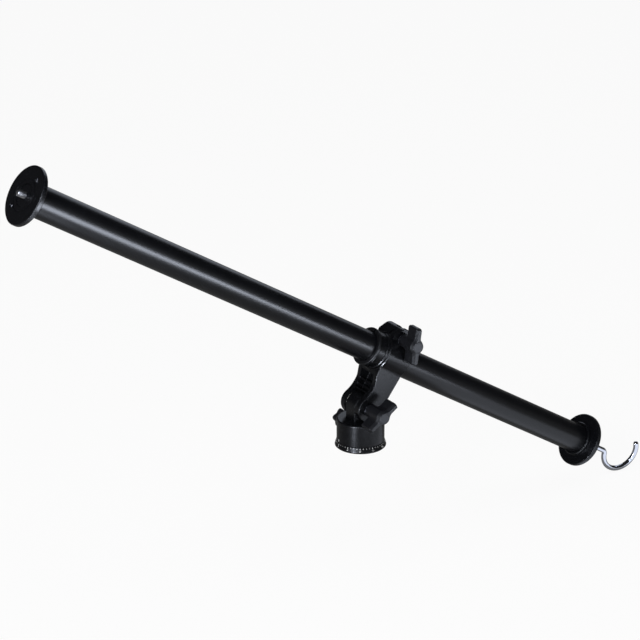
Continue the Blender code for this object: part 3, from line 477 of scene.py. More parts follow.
def material(finish, build, *words):
    """Finds a finished material, or makes it."""
    name = f"finish_{finish}"
    found = bpy.data.materials.get(name)
    if found:
        return found
    made = bpy.data.materials.new(name)
    build(Tree(made), *words)
    return made


def surface(tree, colour, roughness, normal, **constants):
    """Closes a tree with one Principled shader."""
    sockets = {"Base Color": colour4(colour), "Roughness": roughness, "Normal": normal}
    for key, value in constants.items():
        sockets[key.replace("_", " ")] = value
    tree.close(tree.node("ShaderNodeBsdfPrincipled", None, sockets))


def lighter(colour, gain):
    return tuple(channel * gain for channel in colour)


def drawn_anodised(tree, colour, place):
    """Satin anodised aluminium tube: faint lines along it, fine grain and slow cloudiness."""
    point = tree.position(place)
    grain = tree.noise(point, 5200)
    lines = tree.noise(point, 2600, 3.0, 0.6, (1, 1, 0.012))
    cloud = tree.noise(point, 45, 3.0)
    rubbed = tree.noise(point, 900, 4.0, 0.7, (1, 1, 0.15)).ramp(0.66, 0.80)
    tone = tree.mix(cloud.ramp(0.3, 0.7), lighter(colour, 0.86), lighter(colour, 1.16))
    tone = tree.mix(rubbed * 0.35, tone, lighter(colour, 2.2))
    rough = 0.22 + grain * 0.05 + lines * 0.06 + cloud * 0.04
    normal = tree.bump(grain * 0.5 + lines, 0.000008, 0.25)
    surface(tree, tone, rough, normal, Specular_IOR_Level=0.42)


def turned_anodised(tree, colour, place):
    """Anodised turned part: concentric tool marks round its frame's Z, rubbed at the rim."""
    point = tree.position(place)
    rings = tree.noise(tree.round_path(point), 5200, 3.0, 0.6)
    grain = tree.noise(point, 4800)
    broken = tree.noise(point, 700, 4.0, 0.7).ramp(0.42, 0.68)
    worn = tree.radius(point).ramp(PLATE_RADIUS - 0.0007, PLATE_RADIUS - 0.0001) * broken
    tone = tree.mix(grain.ramp(0.3, 0.7), lighter(colour, 0.88), lighter(colour, 1.15))
    tone = tree.mix(worn * 0.5, tone, lighter(colour, 5.0))
    rough = 0.20 + grain * 0.05 + rings * 0.08 + worn * 0.08
    normal = tree.bump(rings + grain * 0.3, 0.000007, 0.30)
    surface(tree, tone, rough, normal, Specular_IOR_Level=0.40)


def cast_coating(tree, colour, place):
    """Powder coating on a die casting: a soft ripple with fine pits."""
    point = tree.position(place)
    ripple = tree.noise(point, 1500, 3.0)
    pits = tree.noise(point, 6200, 2.0)
    cloud = tree.noise(point, 110, 2.0)
    tone = tree.mix(cloud.ramp(0.3, 0.7), lighter(colour, 0.88), lighter(colour, 1.14))
    rough = 0.20 + pits * 0.07 + cloud * 0.05
    normal = tree.bump(ripple * 0.6 + pits * 0.4, 0.00002, 0.30)
    surface(tree, tone, rough, normal, Specular_IOR_Level=0.25)


def dial_gloss(tree, colour, place):
    """Gloss black of the dial, with turning lines that follow its slanted face."""
    point = tree.position(place)
    rings = tree.noise(tree.round_path(point), 6000, 2.0)
    dust = tree.noise(point, 1800, 4.0, 0.7).ramp(0.60, 0.80)
    tone = tree.mix(dust * 0.3, colour, lighter(colour, 2.5))
    surface(tree, tone, 0.24 + rings * 0.08 + dust * 0.12, tree.bump(rings, 0.000008, 0.35),
            Specular_IOR_Level=0.20)


def moulded_plastic(tree, colour, place, grain_size, gloss):
    """Moulded plastic with a spark-eroded grain and paler high spots."""
    point = tree.position(place)
    grain = tree.noise(point, grain_size, 2.0)
    cloud = tree.noise(point, 160, 3.0)
    tone = tree.mix(grain.ramp(0.35, 0.70), lighter(colour, 0.86), lighter(colour, 1.18))
    tone = tree.mix(cloud.ramp(0.55, 0.85) * 0.4, tone, lighter(colour, 1.5))
    rough = gloss + grain * 0.12 + cloud * 0.05
    surface(tree, tone, rough, tree.bump(grain, 0.00003, 0.40), Specular_IOR_Level=0.34)


def mark_paint(tree, colour, place):
    """Printed paint with slightly worn spots."""
    point = tree.position(place)
    spots = tree.noise(point, 2600, 4.0, 0.7)
    tone = tree.mix(spots.ramp(0.58, 0.78) * 0.5, colour, lighter(colour, 0.6))
    surface(tree, tone, 0.45 + spots * 0.15, tree.bump(spots, 0.000008, 0.3))


def turned_metal(tree, colour, place, gloss):
    """Bare metal with fine turning lines round its frame's Z and a few darker stains."""
    point = tree.position(place)
    rings = tree.noise(tree.round_path(point), 7000, 2.0, 0.6)
    stain = tree.noise(point, 420, 4.0, 0.65).ramp(0.50, 0.78)
    tone = tree.mix(stain * 0.5, colour, lighter(colour, 0.6))
    surface(tree, tone, gloss + rings * 0.10 + stain * 0.12, tree.bump(rings, 0.000012, 0.4),
            Metallic=1.0)


def chrome_plate(tree, colour, place):
    """Bright plating over drawn wire, with handling haze."""
    point = tree.position(place)
    haze = tree.noise(point, 260, 4.0, 0.65)
    drawn = tree.noise(point, 1500, 2.0)
    tone = tree.mix(haze.ramp(0.45, 0.80) * 0.4, colour, lighter(colour, 0.82))
    surface(tree, tone, 0.05 + haze.ramp(0.4, 0.9) * 0.10, tree.bump(drawn, 0.000006, 0.15),
            Metallic=1.0)


# Slot, builder and colour of each finish, then the builder's own values. A colour that is
# a word is one of the settings.
FINISHES = {
    "satin_black_tube": ("black_anodised", drawn_anodised, "anodised"),
    "satin_black": ("black_anodised", turned_anodised, "anodised"),
    "black_casting": ("black_casting", cast_coating, "casting"),
    "dial_gloss": ("dial_black", dial_gloss, "dial"),
    "mark_paint": ("dial_black", mark_paint, "marks"),
    "knob_plastic": ("knob_plastic", moulded_plastic, "knob", 5200, 0.32),
    "knob_cap_plastic": ("knob_cap_grey", moulded_plastic, "cap", 6500, 0.36),
    "liner_nylon": ("liner_nylon", moulded_plastic, "liner", 3800, 0.28),
    "slide_plastic": ("slide_plastic", moulded_plastic, (0.62, 0.61, 0.58), 2500, 0.38),
    "bright_steel": ("bright_steel", turned_metal, (0.80, 0.80, 0.82), 0.20),
    "dark_steel": ("dark_steel", turned_metal, (0.055, 0.055, 0.062), 0.30),
    "brass": ("brass", turned_metal, (0.62, 0.44, 0.18), 0.26),
    "hook_chrome": ("chrome", chrome_plate, (0.74, 0.76, 0.82)),
}


def finish_for(kind, place=BASE, tag=""):
    """A finish laid out in a piece's own frame. The tag tells frames apart."""
    build, colour, *words = FINISHES[kind][1:]
    if isinstance(colour, str):
        colour = getattr(bpy.context.scene.arm_colours, colour)
    name = f"{kind}_{tag}" if tag else kind
    return material(name, build, colour, place, *words)


# Shapes

def rounded(shape, items, width, steps, kind="EDGES"):
    """Rounds edges, or corners of a profile."""
    bmesh.ops.bevel(shape, geom=items, offset=width, segments=steps, profile=0.5,
                    affect=kind, material=-1, clamp_overlap=True)


def round_rims(shape, width):
    """Rounds the sharp edges that lie across Z."""
    rims = [edge for edge in shape.edges if flat_edge(edge) and len(edge.link_faces) == 2
            and edge.calc_face_angle() > 0.6]
    rounded(shape, rims, width, 2)


def lathe(profile, segments=ROUND, edge=0.0):
    """Spins a profile of (radius, height) points round Z, after rounding its corners."""
    shape = bmesh.new()
    points = [shape.verts.new((radius, 0.0, height)) for radius, height in profile]
    pairs = list(zip(points, points[1:]))
    if profile[0][0] > 0.0:
        pairs.append((points[-1], points[0]))
    for pair in pairs:
        shape.edges.new(pair)
    corners = [point for point in points if point.co.x > 0.0]
    if edge:
        rounded(shape, corners, edge, 3, "VERTICES")
    bmesh.ops.spin(shape, geom=shape.verts[:] + shape.edges[:], cent=(0, 0, 0),
                   axis=(0, 0, 1), angle=2 * pi, steps=segments, use_merge=True)
    bmesh.ops.remove_doubles(shape, verts=shape.verts, dist=1e-6)
    bmesh.ops.recalc_face_normals(shape, faces=shape.faces)
    return shape


def prism(outline, start, end, edge=0.0, steps=3):
    """Extrudes an outline of (x, y) points and rounds both rims."""
    shape = bmesh.new()
    base = shape.faces.new([shape.verts.new((x, y, start)) for x, y in outline])
    lifted = bmesh.ops.extrude_face_region(shape, geom=[base])["geom"]
    top = [item for item in lifted if isinstance(item, bmesh.types.BMVert)]
    bmesh.ops.translate(shape, verts=top, vec=(0, 0, end - start))
    if edge:
        rounded(shape, [item for item in shape.edges if flat_edge(item)], edge, steps)
    bmesh.ops.recalc_face_normals(shape, faces=shape.faces)
    return shape


def flat_edge(edge):
    """True for an edge that lies across Z."""
    return abs(edge.verts[0].co.z - edge.verts[1].co.z) < 1e-7


def block(low, high, edge=0.0):
    """A block between two corners, its edges rounded."""
    shape = bmesh.new()
    low, high = Vector(low), Vector(high)
    bmesh.ops.create_cube(shape, size=1.0)
    bmesh.ops.scale(shape, verts=shape.verts, vec=high - low)
    bmesh.ops.translate(shape, verts=shape.verts, vec=(high + low) / 2)
    if edge:
        rounded(shape, shape.edges[:], edge, 3)
    return shape


def sleeve(bore, radius, start, end, segments=ROUND, edge=0.0):
    """A tube along Z between two heights."""
    return lathe([(bore, start), (radius, start), (radius, end), (bore, end)], segments, edge)


def rod(radius, start, end, segments=SMALL_ROUND, edge=0.0):
    """A solid rod along Z between two heights."""
    return sleeve(0.0, radius, start, end, segments, edge)


def on_circle(radius, angle):
    return Matrix.Translation((radius * cos(angle), radius * sin(angle), 0))


def arc(radius, count, start=0.0, sweep=2 * pi, centre=(0.0, 0.0), closed=True):
    """Points along an arc. A closed circle leaves out its last point."""
    steps = count if closed else count - 1
    return [(centre[0] + radius * cos(start + sweep * step / steps),
             centre[1] + radius * sin(start + sweep * step / steps)) for step in range(count)]


def hexagon(across_flats):
    return arc(across_flats / sqrt(3), 6)


def moved(shape, place):
    bmesh.ops.transform(shape, matrix=place, verts=shape.verts)
    return shape


def together(first, *others):
    """Puts several closed shapes in one."""
    for other in others:
        mesh = bpy.data.meshes.new("loose")
        other.to_mesh(mesh)
        other.free()
        first.from_mesh(mesh)
        bpy.data.meshes.remove(mesh)
    return first


def loose_object(name, shape):
    """A scene object for a shape, as a Boolean needs."""
    mesh = bpy.data.meshes.new(name)
    shape.to_mesh(mesh)
    shape.free()
    made = bpy.data.objects.new(name, mesh)
    bpy.context.scene.collection.objects.link(made)
    return made


def combined(target, tools, operation):
    """Adds or cuts closed shapes, and returns the new shape."""
    body = loose_object("boolean_body", target)
    group = bpy.data.collections.new("boolean_tools")
    loose = [loose_object("boolean_tool", tool) for tool in tools]
    for item in loose:
        group.objects.link(item)
    modifier = body.modifiers.new("boolean", "BOOLEAN")
    modifier.operation = operation
    modifier.operand_type = "COLLECTION"
    modifier.collection = group
    modifier.solver = "EXACT"
    bpy.context.view_layer.update()
    result = bmesh.new()
    result.from_object(body, bpy.context.evaluated_depsgraph_get())
    for item in [body, *loose]:
        mesh = item.data
        bpy.data.objects.remove(item)
        bpy.data.meshes.remove(mesh)
    bpy.data.collections.remove(group)
    bmesh.ops.remove_doubles(result, verts=result.verts, dist=2e-6)
    bmesh.ops.dissolve_degenerate(result, edges=result.edges, dist=2e-6)
    return result


def cut(target, *tools):
    return combined(target, tools, "DIFFERENCE")


def fused(target, *tools):
    return combined(target, tools, "UNION")


def screw_ridge(root, crest, pitch, start, end):
    """The ridge of a thread, wound round Z between two heights."""
    steps_round = 40
    shape = bmesh.new()
    turns = (end - start) / pitch - 1
    corners = [(root, -THREAD_ROOT_HALF), (crest, -THREAD_CREST_HALF),
               (crest, THREAD_CREST_HALF), (root, THREAD_ROOT_HALF)]
    points = [shape.verts.new((radius, 0.0, start + (0.5 + rise) * pitch))
              for radius, rise in corners]
    edges = [shape.edges.new(pair) for pair in zip(points, points[1:] + points[:1])]
    bmesh.ops.spin(shape, geom=points + edges, cent=(0, 0, 0), axis=(0, 0, 1),
                   dvec=(0, 0, pitch / steps_round), angle=2 * pi * turns,
                   steps=round(turns * steps_round))
    ends = [edge for edge in shape.edges if edge.is_boundary]
    bmesh.ops.holes_fill(shape, edges=ends, sides=4)
    bmesh.ops.recalc_face_normals(shape, faces=shape.faces)
    return shape


def curve_shape(curve, merge):
    """The closed shape of a curve or a text."""
    guide = bpy.data.objects.new(curve.name, curve)
    mesh = bpy.data.meshes.new_from_object(guide)
    bpy.data.objects.remove(guide)
    shape = bmesh.new()
    shape.from_mesh(mesh)
    bpy.data.meshes.remove(mesh)
    bmesh.ops.remove_doubles(shape, verts=shape.verts, dist=merge)
    return shape


def threaded_rod(radius, depth, pitch, start, end, bare=THREAD_END):
    """A rod along Z whose thread begins a bare length after its start."""
    root = radius - depth
    ridge = screw_ridge(root - THREAD_SINK, radius, pitch, start + bare, end - THREAD_END)
    return together(rod(root, start, end, edge=THREAD_END), ridge)


def piece(name, shape, body, kind, nodes=(), place=BASE, tag="", bevel=0.0):
    """Moves a shape to its place and makes it a piece that rides on its CAD body."""
    mesh = bpy.data.meshes.new(name)
    moved(shape, place).to_mesh(mesh)
    shape.free()
    mesh.materials.append(finish_for(kind, place, tag))
    mesh.shade_smooth()
    mesh.set_sharp_from_angle(angle=SHARP_ANGLE)
    made = bpy.data.objects.new(name, mesh)
    bpy.context.scene.collection.objects.link(made)
    if bevel:
        rounding = made.modifiers.new("broken edges", "BEVEL")
        rounding.width = bevel
        rounding.segments = 2
        rounding.limit_method = "ANGLE"
        rounding.angle_limit = SHARP_ANGLE
        rounding.harden_normals = False
        triangles = made.modifiers.new("triangles", "TRIANGULATE")
        triangles.min_vertices = 5
    weighted = made.modifiers.new("even shading", "WEIGHTED_NORMAL")
    weighted.keep_sharp = not bevel
    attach(made, body)
    if nodes:
        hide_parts(*nodes)


# Arm

class ARM_OT_tube(bpy.types.Operator):
    """Drawn tube between the end plates"""
    bl_idname = "arm.tube"
    bl_label = "Tube"

    def execute(self, context):
        inset = PLATE_THICKNESS + GAP
        start = HEAD_FACE + inset
        end = HOOK_FACE - inset
        shape = sleeve(TUBE_RADIUS - TUBE_WALL, TUBE_RADIUS, start, end, 160,
                       context.scene.arm_sizes.edge)
        piece("tube_skin", shape, "arm", "satin_black_tube", ["arm_tube"], TUBE)
        return {"FINISHED"}


def plate_back(inner):
    """A plate from its rim inwards over its boss and spigot. Height 0 is its outer face."""
    seat = TUBE_RADIUS + GAP
    boss_top = PLATE_THICKNESS + BOSS_HEIGHT
    spigot_top = PLATE_THICKNESS + SPIGOT_LENGTH
    spigot = TUBE_RADIUS - TUBE_WALL - GAP
    chamfer = PLATE_CHAMFER
    return [(PLATE_RADIUS - chamfer, 0.0), (PLATE_RADIUS, chamfer),
            (PLATE_RADIUS, PLATE_THICKNESS - chamfer), (PLATE_RADIUS - chamfer, PLATE_THICKNESS),
            (BOSS_RADIUS, PLATE_THICKNESS), (BOSS_RADIUS, boss_top - chamfer),
            (BOSS_RADIUS - chamfer, boss_top), (seat, boss_top), (seat, PLATE_THICKNESS),
            (spigot, PLATE_THICKNESS), (spigot, spigot_top), (inner, spigot_top)]


class ARM_OT_plates(bpy.types.Operator):
    """Round plates at both ends of the tube"""
    bl_idname = "arm.plates"
    bl_label = "End plates"

    def execute(self, context):
        edge = context.scene.arm_sizes.edge * FINE_EDGE_SHARE
        bush = STUD_BUSH_RADIUS + GAP
        inner = RING_GROOVE_RADIUS - RING_GROOVE_WIDTH / 2
        outer = RING_GROOVE_RADIUS + RING_GROOVE_WIDTH / 2
        face = [(bush, 0.0), (inner, 0.0), (inner, RING_GROOVE_DEPTH),
                (outer, RING_GROOVE_DEPTH), (outer, 0.0)]
        upper = lathe(plate_back(bush) + face, ROUND, edge)
        holes = [moved(rod(SET_SCREW_RADIUS + GAP, -PAST, SPIGOT_FLOOR),
                       on_circle(SET_SCREW_CIRCLE, angle)) for angle in SET_SCREW_ANGLES]
        upper = cut(upper, *holes)
        piece("upper_plate_turned", upper, "arm", "satin_black", ["head_plate"], HEAD,
              "upper_plate")
        bore = WIRE_RADIUS + GAP
        core = TUBE_RADIUS - TUBE_WALL - GAP - SPIGOT_WALL
        floor = [(core, SPIGOT_FLOOR), (bore, SPIGOT_FLOOR), (bore, 0.0)]
        lower = lathe(plate_back(core) + floor, ROUND, edge)
        piece("lower_plate_turned", lower, "arm", "satin_black", ["hook_plate"], HOOK_PLATE,
              "lower_plate")
        return {"FINISHED"}


class ARM_OT_stud(bpy.types.Operator):
    """Stud with its bush in the upper plate, and the two set screws beside it"""
    bl_idname = "arm.stud"
    bl_label = "Stud and set screws"

    def execute(self, context):
        sizes = context.scene.arm_sizes
        bore = STUD_RADIUS + GAP
        bush = sleeve(bore, STUD_BUSH_RADIUS, STUD_BUSH_SINK,
                      STUD_BUSH_SINK + STUD_BUSH_LENGTH, 96, STUD_BUSH_EDGE)
        piece("stud_bush_turned", bush, "arm", "satin_black", ["stud_bush"], HEAD, "stud_bush")
        depth = 0.6 * sizes.stud_pitch
        root = STUD_RADIUS - depth
        wall = root + THREAD_SINK
        core = lathe([(0.0, -STUD_PROTRUSION), (root - STUD_CHAMFER, -STUD_PROTRUSION),
                      (wall, STUD_POINT - STUD_PROTRUSION), (wall, STUD_ENGAGEMENT),
                      (0.0, STUD_ENGAGEMENT)], SMALL_ROUND, THREAD_SINK)
        ridge = screw_ridge(root, STUD_RADIUS, sizes.stud_pitch, THREAD_END - STUD_PROTRUSION,
                            STUD_ENGAGEMENT - THREAD_END)
        piece("stud_thread", together(core, ridge), "arm", "bright_steel", ["head_stud"], HEAD,
              "stud")
        for number, angle in enumerate(SET_SCREW_ANGLES, 1):
            body = rod(SET_SCREW_RADIUS, SET_SCREW_SINK, SET_SCREW_END)
            round_rims(body, SET_SCREW_EDGE)
            key = prism(hexagon(SET_SCREW_KEY), -0.001, SET_SCREW_SINK + SET_SCREW_KEY_DEPTH)
            node = f"set_screw_{number}"
            piece(f"set_screw_socket_{number}", cut(body, key), "arm", "bright_steel",
                  [node], HEAD @ on_circle(SET_SCREW_CIRCLE, angle), node)
        return {"FINISHED"}


def hook_path():
    """Centre line of the bent wire and its thickness: along the shank, across, share."""
    centre = Vector((HOOK_SHANK + HOOK_NECK_RADIUS + HOOK_RADIUS, HOOK_OFFSET))
    drop = HOOK_NECK_RADIUS + HOOK_OFFSET
    reach = sqrt((HOOK_RADIUS + HOOK_NECK_RADIUS) ** 2 - drop ** 2)
    neck = Vector((centre.x - reach, -HOOK_NECK_RADIUS))
    meet = atan2(neck.y - centre.y, neck.x - centre.x)
    points = [(-HOOK_TAIL, 0.0), (-HOOK_TAIL / 2, 0.0), (0.0, 0.0), (neck.x / 2, 0.0)]
    points += arc(HOOK_NECK_RADIUS, 18, pi / 2, meet + pi / 2, neck, closed=False)
    points += arc(HOOK_RADIUS, 72, meet, HOOK_END_ANGLE - meet, centre, closed=False)[1:]
    path = [(along, across, 1.0) for along, across in points]
    heading = HOOK_END_ANGLE + pi / 2
    end = points[-1]
    for angle in range(12, 85, 12):
        step = WIRE_RADIUS * sin(radians(angle))
        path.append((end[0] + step * cos(heading), end[1] + step * sin(heading),
                     cos(radians(angle))))
    return path


class ARM_OT_hook(bpy.types.Operator):
    """Bent and plated hook in the lower plate"""
    bl_idname = "arm.hook"
    bl_label = "Hook"

    def execute(self, context):
        curve = bpy.data.curves.new("hook_wire_path", "CURVE")
        curve.dimensions = "3D"
        curve.bevel_depth = WIRE_RADIUS
        curve.bevel_resolution = 10
        curve.use_fill_caps = True
        spline = curve.splines.new("POLY")
        path = hook_path()
        spline.points.add(len(path) - 1)
        for point, (along, across, share) in zip(spline.points, path):
            point.co = (-across * cos(HOOK_TWIST), -across * sin(HOOK_TWIST), along, 1.0)
            point.radius = share
        shape = curve_shape(curve, 1e-6)
        bmesh.ops.recalc_face_normals(shape, faces=shape.faces)
        piece("hook_wire", shape, "hook_swivel", "hook_chrome", ["hook"], HOOK)
        return {"FINISHED"}


# Clamp bracket

def slot_cutter():
    """The slit along the top of the collar and its liner."""
    edge = SLOT_OFFSET - SLOT_WIDTH / 2
    return moved(block((FLANGE_START - PAST, -edge - SLOT_WIDTH, NECK_HEIGHT),
                       (BLOCK_END + PAST, -edge, NECK_HEIGHT + FAR)), TILT)


def saddle_cutter():
    """The hollow across the top of the ears, over the slit."""
    height = NECK_HEIGHT + EAR_HEIGHT + EAR_RADIUS + SADDLE_RADIUS - SADDLE_DEPTH
    place = Matrix.Translation((CLAMP_POSITION, -SLOT_OFFSET, height))
    return moved(rod(SADDLE_RADIUS, -SADDLE_REACH, SADDLE_REACH, 64),
                 TILT @ place @ Matrix.Rotation(pi / 2, 4, "Y"))


class ARM_OT_liner(bpy.types.Operator):
    """Split nylon liner with its flange at the collar's mouth"""
    bl_idname = "arm.liner"
    bl_label = "Liner"

    def execute(self, context):
        outer = LINER_BORE + LINER_WALL
        shape = lathe([(LINER_BORE, FLANGE_START),
                       (FLANGE_RADIUS - SLEEVE_CHAMFER, FLANGE_START),
                       (FLANGE_RADIUS, FLANGE_START + SLEEVE_CHAMFER),
                       (FLANGE_RADIUS, FLANGE_START + FLANGE_WIDTH),
                       (outer, FLANGE_START + FLANGE_WIDTH), (outer, BLOCK_END),
                       (LINER_BORE, BLOCK_END)], ROUND, LINER_EDGE)
        piece("liner_sleeve", cut(moved(shape, TUBE), slot_cutter()), "collar_liner",
              "liner_nylon", ["liner"])
        return {"FINISHED"}


def neck_outline():
    """The neck's side: fork eye at the foot, a waist, then up into the collar."""
    foot = Vector((FORK_RADIUS * cos(NECK_FOOT_ANGLE), FORK_RADIUS * sin(NECK_FOOT_ANGLE)))
    leave = Vector((sin(NECK_FOOT_ANGLE), -cos(NECK_FOOT_ANGLE)))
    waist = Vector((-WAIST_LEFT, WAIST_HEIGHT))
    head = Vector((BLOCK_START + NECK_INSET, NECK_HEIGHT - BLOCK_RADIUS * cos(pi / 4)))
    rise = Vector((0.0, 1.0))
    lower = interpolate_bezier(foot, foot + leave * FOOT_PULL, waist - rise * WAIST_PULL,
                               waist, 20)
    upper = interpolate_bezier(waist, waist + rise * WAIST_PULL, head - rise * HEAD_PULL,
                               head, 20)
    right = Vector((BLOCK_END - NECK_INSET, head.y))
    touch = atan2(right.y, right.x) - acos(FORK_RADIUS / right.length)
    eye = arc(FORK_RADIUS, 72, NECK_FOOT_ANGLE, 2 * pi + touch - NECK_FOOT_ANGLE, closed=False)
    left = [(point.x, point.y) for point in upper[::-1][:-1] + lower[::-1]]
    return left + eye[1:] + [(right.x, right.y), (right.x, NECK_HEIGHT), (head.x, NECK_HEIGHT)]


def ear_outline():
    """The ears over the clamp bolt: a round top, and a ramp down to a toe."""
    centre = Vector((CLAMP_POSITION, NECK_HEIGHT + EAR_HEIGHT))
    toe = Vector((EAR_TOE_START, NECK_HEIGHT + EAR_TOE_HEIGHT))
    back = toe - centre
    leave = atan2(back.y, back.x) % (2 * pi) - acos(EAR_RADIUS / back.length)
    root = NECK_HEIGHT + EAR_ROOT
    outline = arc(EAR_RADIUS, 44, 0.0, leave, centre, closed=False)
    return outline + [(toe.x, toe.y), (toe.x, root), (centre.x + EAR_RADIUS, root)]


def collar_shape():
    """The collar's outside: a slim sleeve, a step, then the thick block."""
    step_start = BLOCK_START - STEP_LENGTH
    core = COLLAR_BORE - BORE_STOCK
    return lathe([
        (core, SLEEVE_START), (SLEEVE_RADIUS - SLEEVE_CHAMFER, SLEEVE_START),
        (SLEEVE_RADIUS, SLEEVE_START + SLEEVE_CHAMFER), (SLEEVE_RADIUS, step_start),
        (STEP_RADIUS - STEP_CHAMFER, step_start), (STEP_RADIUS, step_start + STEP_CHAMFER),
        (STEP_RADIUS, BLOCK_START), (BLOCK_RADIUS - BLOCK_CHAMFER, BLOCK_START),
        (BLOCK_RADIUS, BLOCK_START + BLOCK_CHAMFER), (BLOCK_RADIUS, BLOCK_END - SLEEVE_CHAMFER),
        (BLOCK_RADIUS - SLEEVE_CHAMFER, BLOCK_END), (core, BLOCK_END)], ROUND)


def bolt_cutters(place, back):
    """The bore of a bolt and the hexagon seat that sinks its head in the back face."""
    seat = prism(hexagon(BOLT_HEAD_FLATS + 2 * GAP), -THROUGH,
                 2 * GAP - back + BOLT_HEAD_HEIGHT)
    return [moved(tool, place) for tool in (rod(BOLT_RADIUS + GAP, -THROUGH, THROUGH), seat)]


def fork_mouth():
    """It opens the fork for the tongue."""
    reach = FORK_RADIUS * 2
    return moved(block((-reach, -FORK_GAP, -reach), (reach, FORK_GAP, FORK_SADDLE)), TILT)


def clamp_face():
    """It faces the front ear for the clamp's washer."""
    return moved(rod(KNOB_STEM_RADIUS + 2 * GAP, CLAMP_FRONT, FAR), CLAMP)


def pocket_cutters():
    """Cored pockets in the neck's upper side, with two thin ribs between them."""
    floor = POCKET_DEPTH - WAIST_LEFT
    half = POCKET_WIDTH / 2
    edges = [POCKET_BOTTOM]
    for height in RIB_HEIGHTS:
        edges += [height - RIB_THICKNESS / 2, height + RIB_THICKNESS / 2]
    edges.append(POCKET_TOP)
    outside = BLOCK_START * 2
    pockets = [block((outside, -half, low), (floor, half, high), POCKET_ROUNDING)
               for low, high in zip(edges[::2], edges[1::2])]
    relief = block((outside, -half, POCKET_BOTTOM),
                   (RIB_SINK - WAIST_LEFT, half, POCKET_TOP), POCKET_ROUNDING)
    return [moved(tool, TILT) for tool in [*pockets, relief]]


class ARM_OT_bracket(bpy.types.Operator):
    """Cast bracket: split collar with ears, ribbed neck, and the fork round the tongue"""
    bl_idname = "arm.bracket"
    bl_label = "Bracket"

    def execute(self, context):
        upright = TILT @ UPRIGHT
        neck = moved(prism(neck_outline(), -FORK_HALF, FORK_HALF, NECK_ROUNDING, 4), upright)
        ears = moved(prism(ear_outline(), -CLAMP_BACK, CLAMP_FRONT, EAR_ROUNDING, 4), upright)
        body = fused(neck, moved(collar_shape(), TUBE), ears)
        bore = moved(rod(COLLAR_BORE, SLEEVE_START - PAST, BLOCK_END + PAST, ROUND), TUBE)
        tilt_bore, tilt_seat = bolt_cutters(TILT_BOLT, FORK_HALF)
        clamp_bore, clamp_seat = bolt_cutters(CLAMP, CLAMP_BACK)
        body = cut(body, bore, slot_cutter(), saddle_cutter(), fork_mouth(), tilt_bore,
                   tilt_seat, clamp_bore, clamp_face(), clamp_seat, *pocket_cutters())
        piece("bracket_casting", body, "clamp_bracket", "black_casting", ["bracket"],
              bevel=CASTING_EDGE)
        return {"FINISHED"}


def bolt_shape(seat, end):
    """Hexagon bolt with a chamfered head and a rolled thread."""
    head = prism(hexagon(BOLT_HEAD_FLATS), seat, seat + BOLT_HEAD_HEIGHT, BOLT_HEAD_EDGE, 2)
    shank = threaded_rod(BOLT_RADIUS, BOLT_THREAD_DEPTH, BOLT_PITCH, seat + BOLT_BARE, end,
                         BOLT_HEAD_HEIGHT + BOLT_BARE)
    return together(head, shank)


class ARM_OT_bolts(bpy.types.Operator):
    """Tilt bolt and clamp bolt, their heads sunk in the bracket's back"""
    bl_idname = "arm.bolts"
    bl_label = "Bolts"

    def execute(self, context):
        rows = (("tilt", TILT_BOLT, FORK_HALF, FORK_HALF),
                ("clamp", CLAMP, CLAMP_BACK, CLAMP_FRONT))
        for name, place, back, front in rows:
            piece(f"{name}_bolt_threaded",
                  bolt_shape(GAP - back, front + KNOB_SEAT + BOLT_REACH), "clamp_bracket",
                  "dark_steel", [f"{name}_bolt"], place, f"{name}_bolt")
        return {"FINISHED"}


# Lock knobs

def wing_outline():
    """Two wings that swell into a round hub, blended by concave arcs."""
    half = WING_WIDTH / 2
    corner = half - WING_CORNER
    tip = KNOB_LENGTH / 2 - WING_CORNER
    blend_x = sqrt((HUB_RADIUS + WING_BLEND) ** 2 - (half + WING_BLEND) ** 2)
    lean = atan2(half + WING_BLEND, blend_x)
    side = arc(WING_CORNER, 9, -pi / 2, pi / 2, (tip, -corner), closed=False)
    side += arc(WING_CORNER, 9, 0.0, pi / 2, (tip, corner), closed=False)
    side += arc(WING_BLEND, 14, -pi / 2, lean - pi / 2, (blend_x, half + WING_BLEND),
                closed=False)
    side += arc(HUB_RADIUS, 20, lean, pi - 2 * lean, closed=False)[1:-1]
    side += arc(WING_BLEND, 14, -lean, lean - pi / 2, (-blend_x, half + WING_BLEND),
                closed=False)
    return side + [(-x, -y) for x, y in side]


def lift(shape, face, rise):
    """Raises one face along Z and leaves walls behind it."""
    lifted = bmesh.ops.extrude_discrete_faces(shape, faces=[face])["faces"][0]
    bmesh.ops.translate(shape, verts=lifted.verts, vec=(0, 0, rise))
    return lifted


def wing_shape(seat):
    """Stepped wings on a round stem, with fine rounded edges."""
    stem_top = seat + KNOB_STEM_LENGTH
    shape = bmesh.new()
    corners = [shape.verts.new((x, y, stem_top)) for x, y in wing_outline()]
    top = lift(shape, shape.faces.new(corners), KNOB_DEPTH - KNOB_STEPS * KNOB_STEP_DEPTH)
    shape.faces.new(corners)
    for _ in range(KNOB_STEPS):
        bmesh.ops.inset_region(shape, faces=[top], thickness=KNOB_STEP_INSET,
                               use_even_offset=True)
        top = lift(shape, top, KNOB_STEP_DEPTH)
    bmesh.ops.recalc_face_normals(shape, faces=shape.faces)
    round_rims(shape, KNOB_EDGE)
    return shape


def stem_shape(radius, seat, top):
    """The round foot of a knob, a little slimmer towards its wings or lobes."""
    return lathe([(0.0, seat), (radius - STEM_CHAMFER, seat), (radius, seat + STEM_CHAMFER),
                  (radius * STEM_TAPER, top + STEM_OVERLAP), (0.0, top + STEM_OVERLAP)],
                 64, FINE_EDGE)


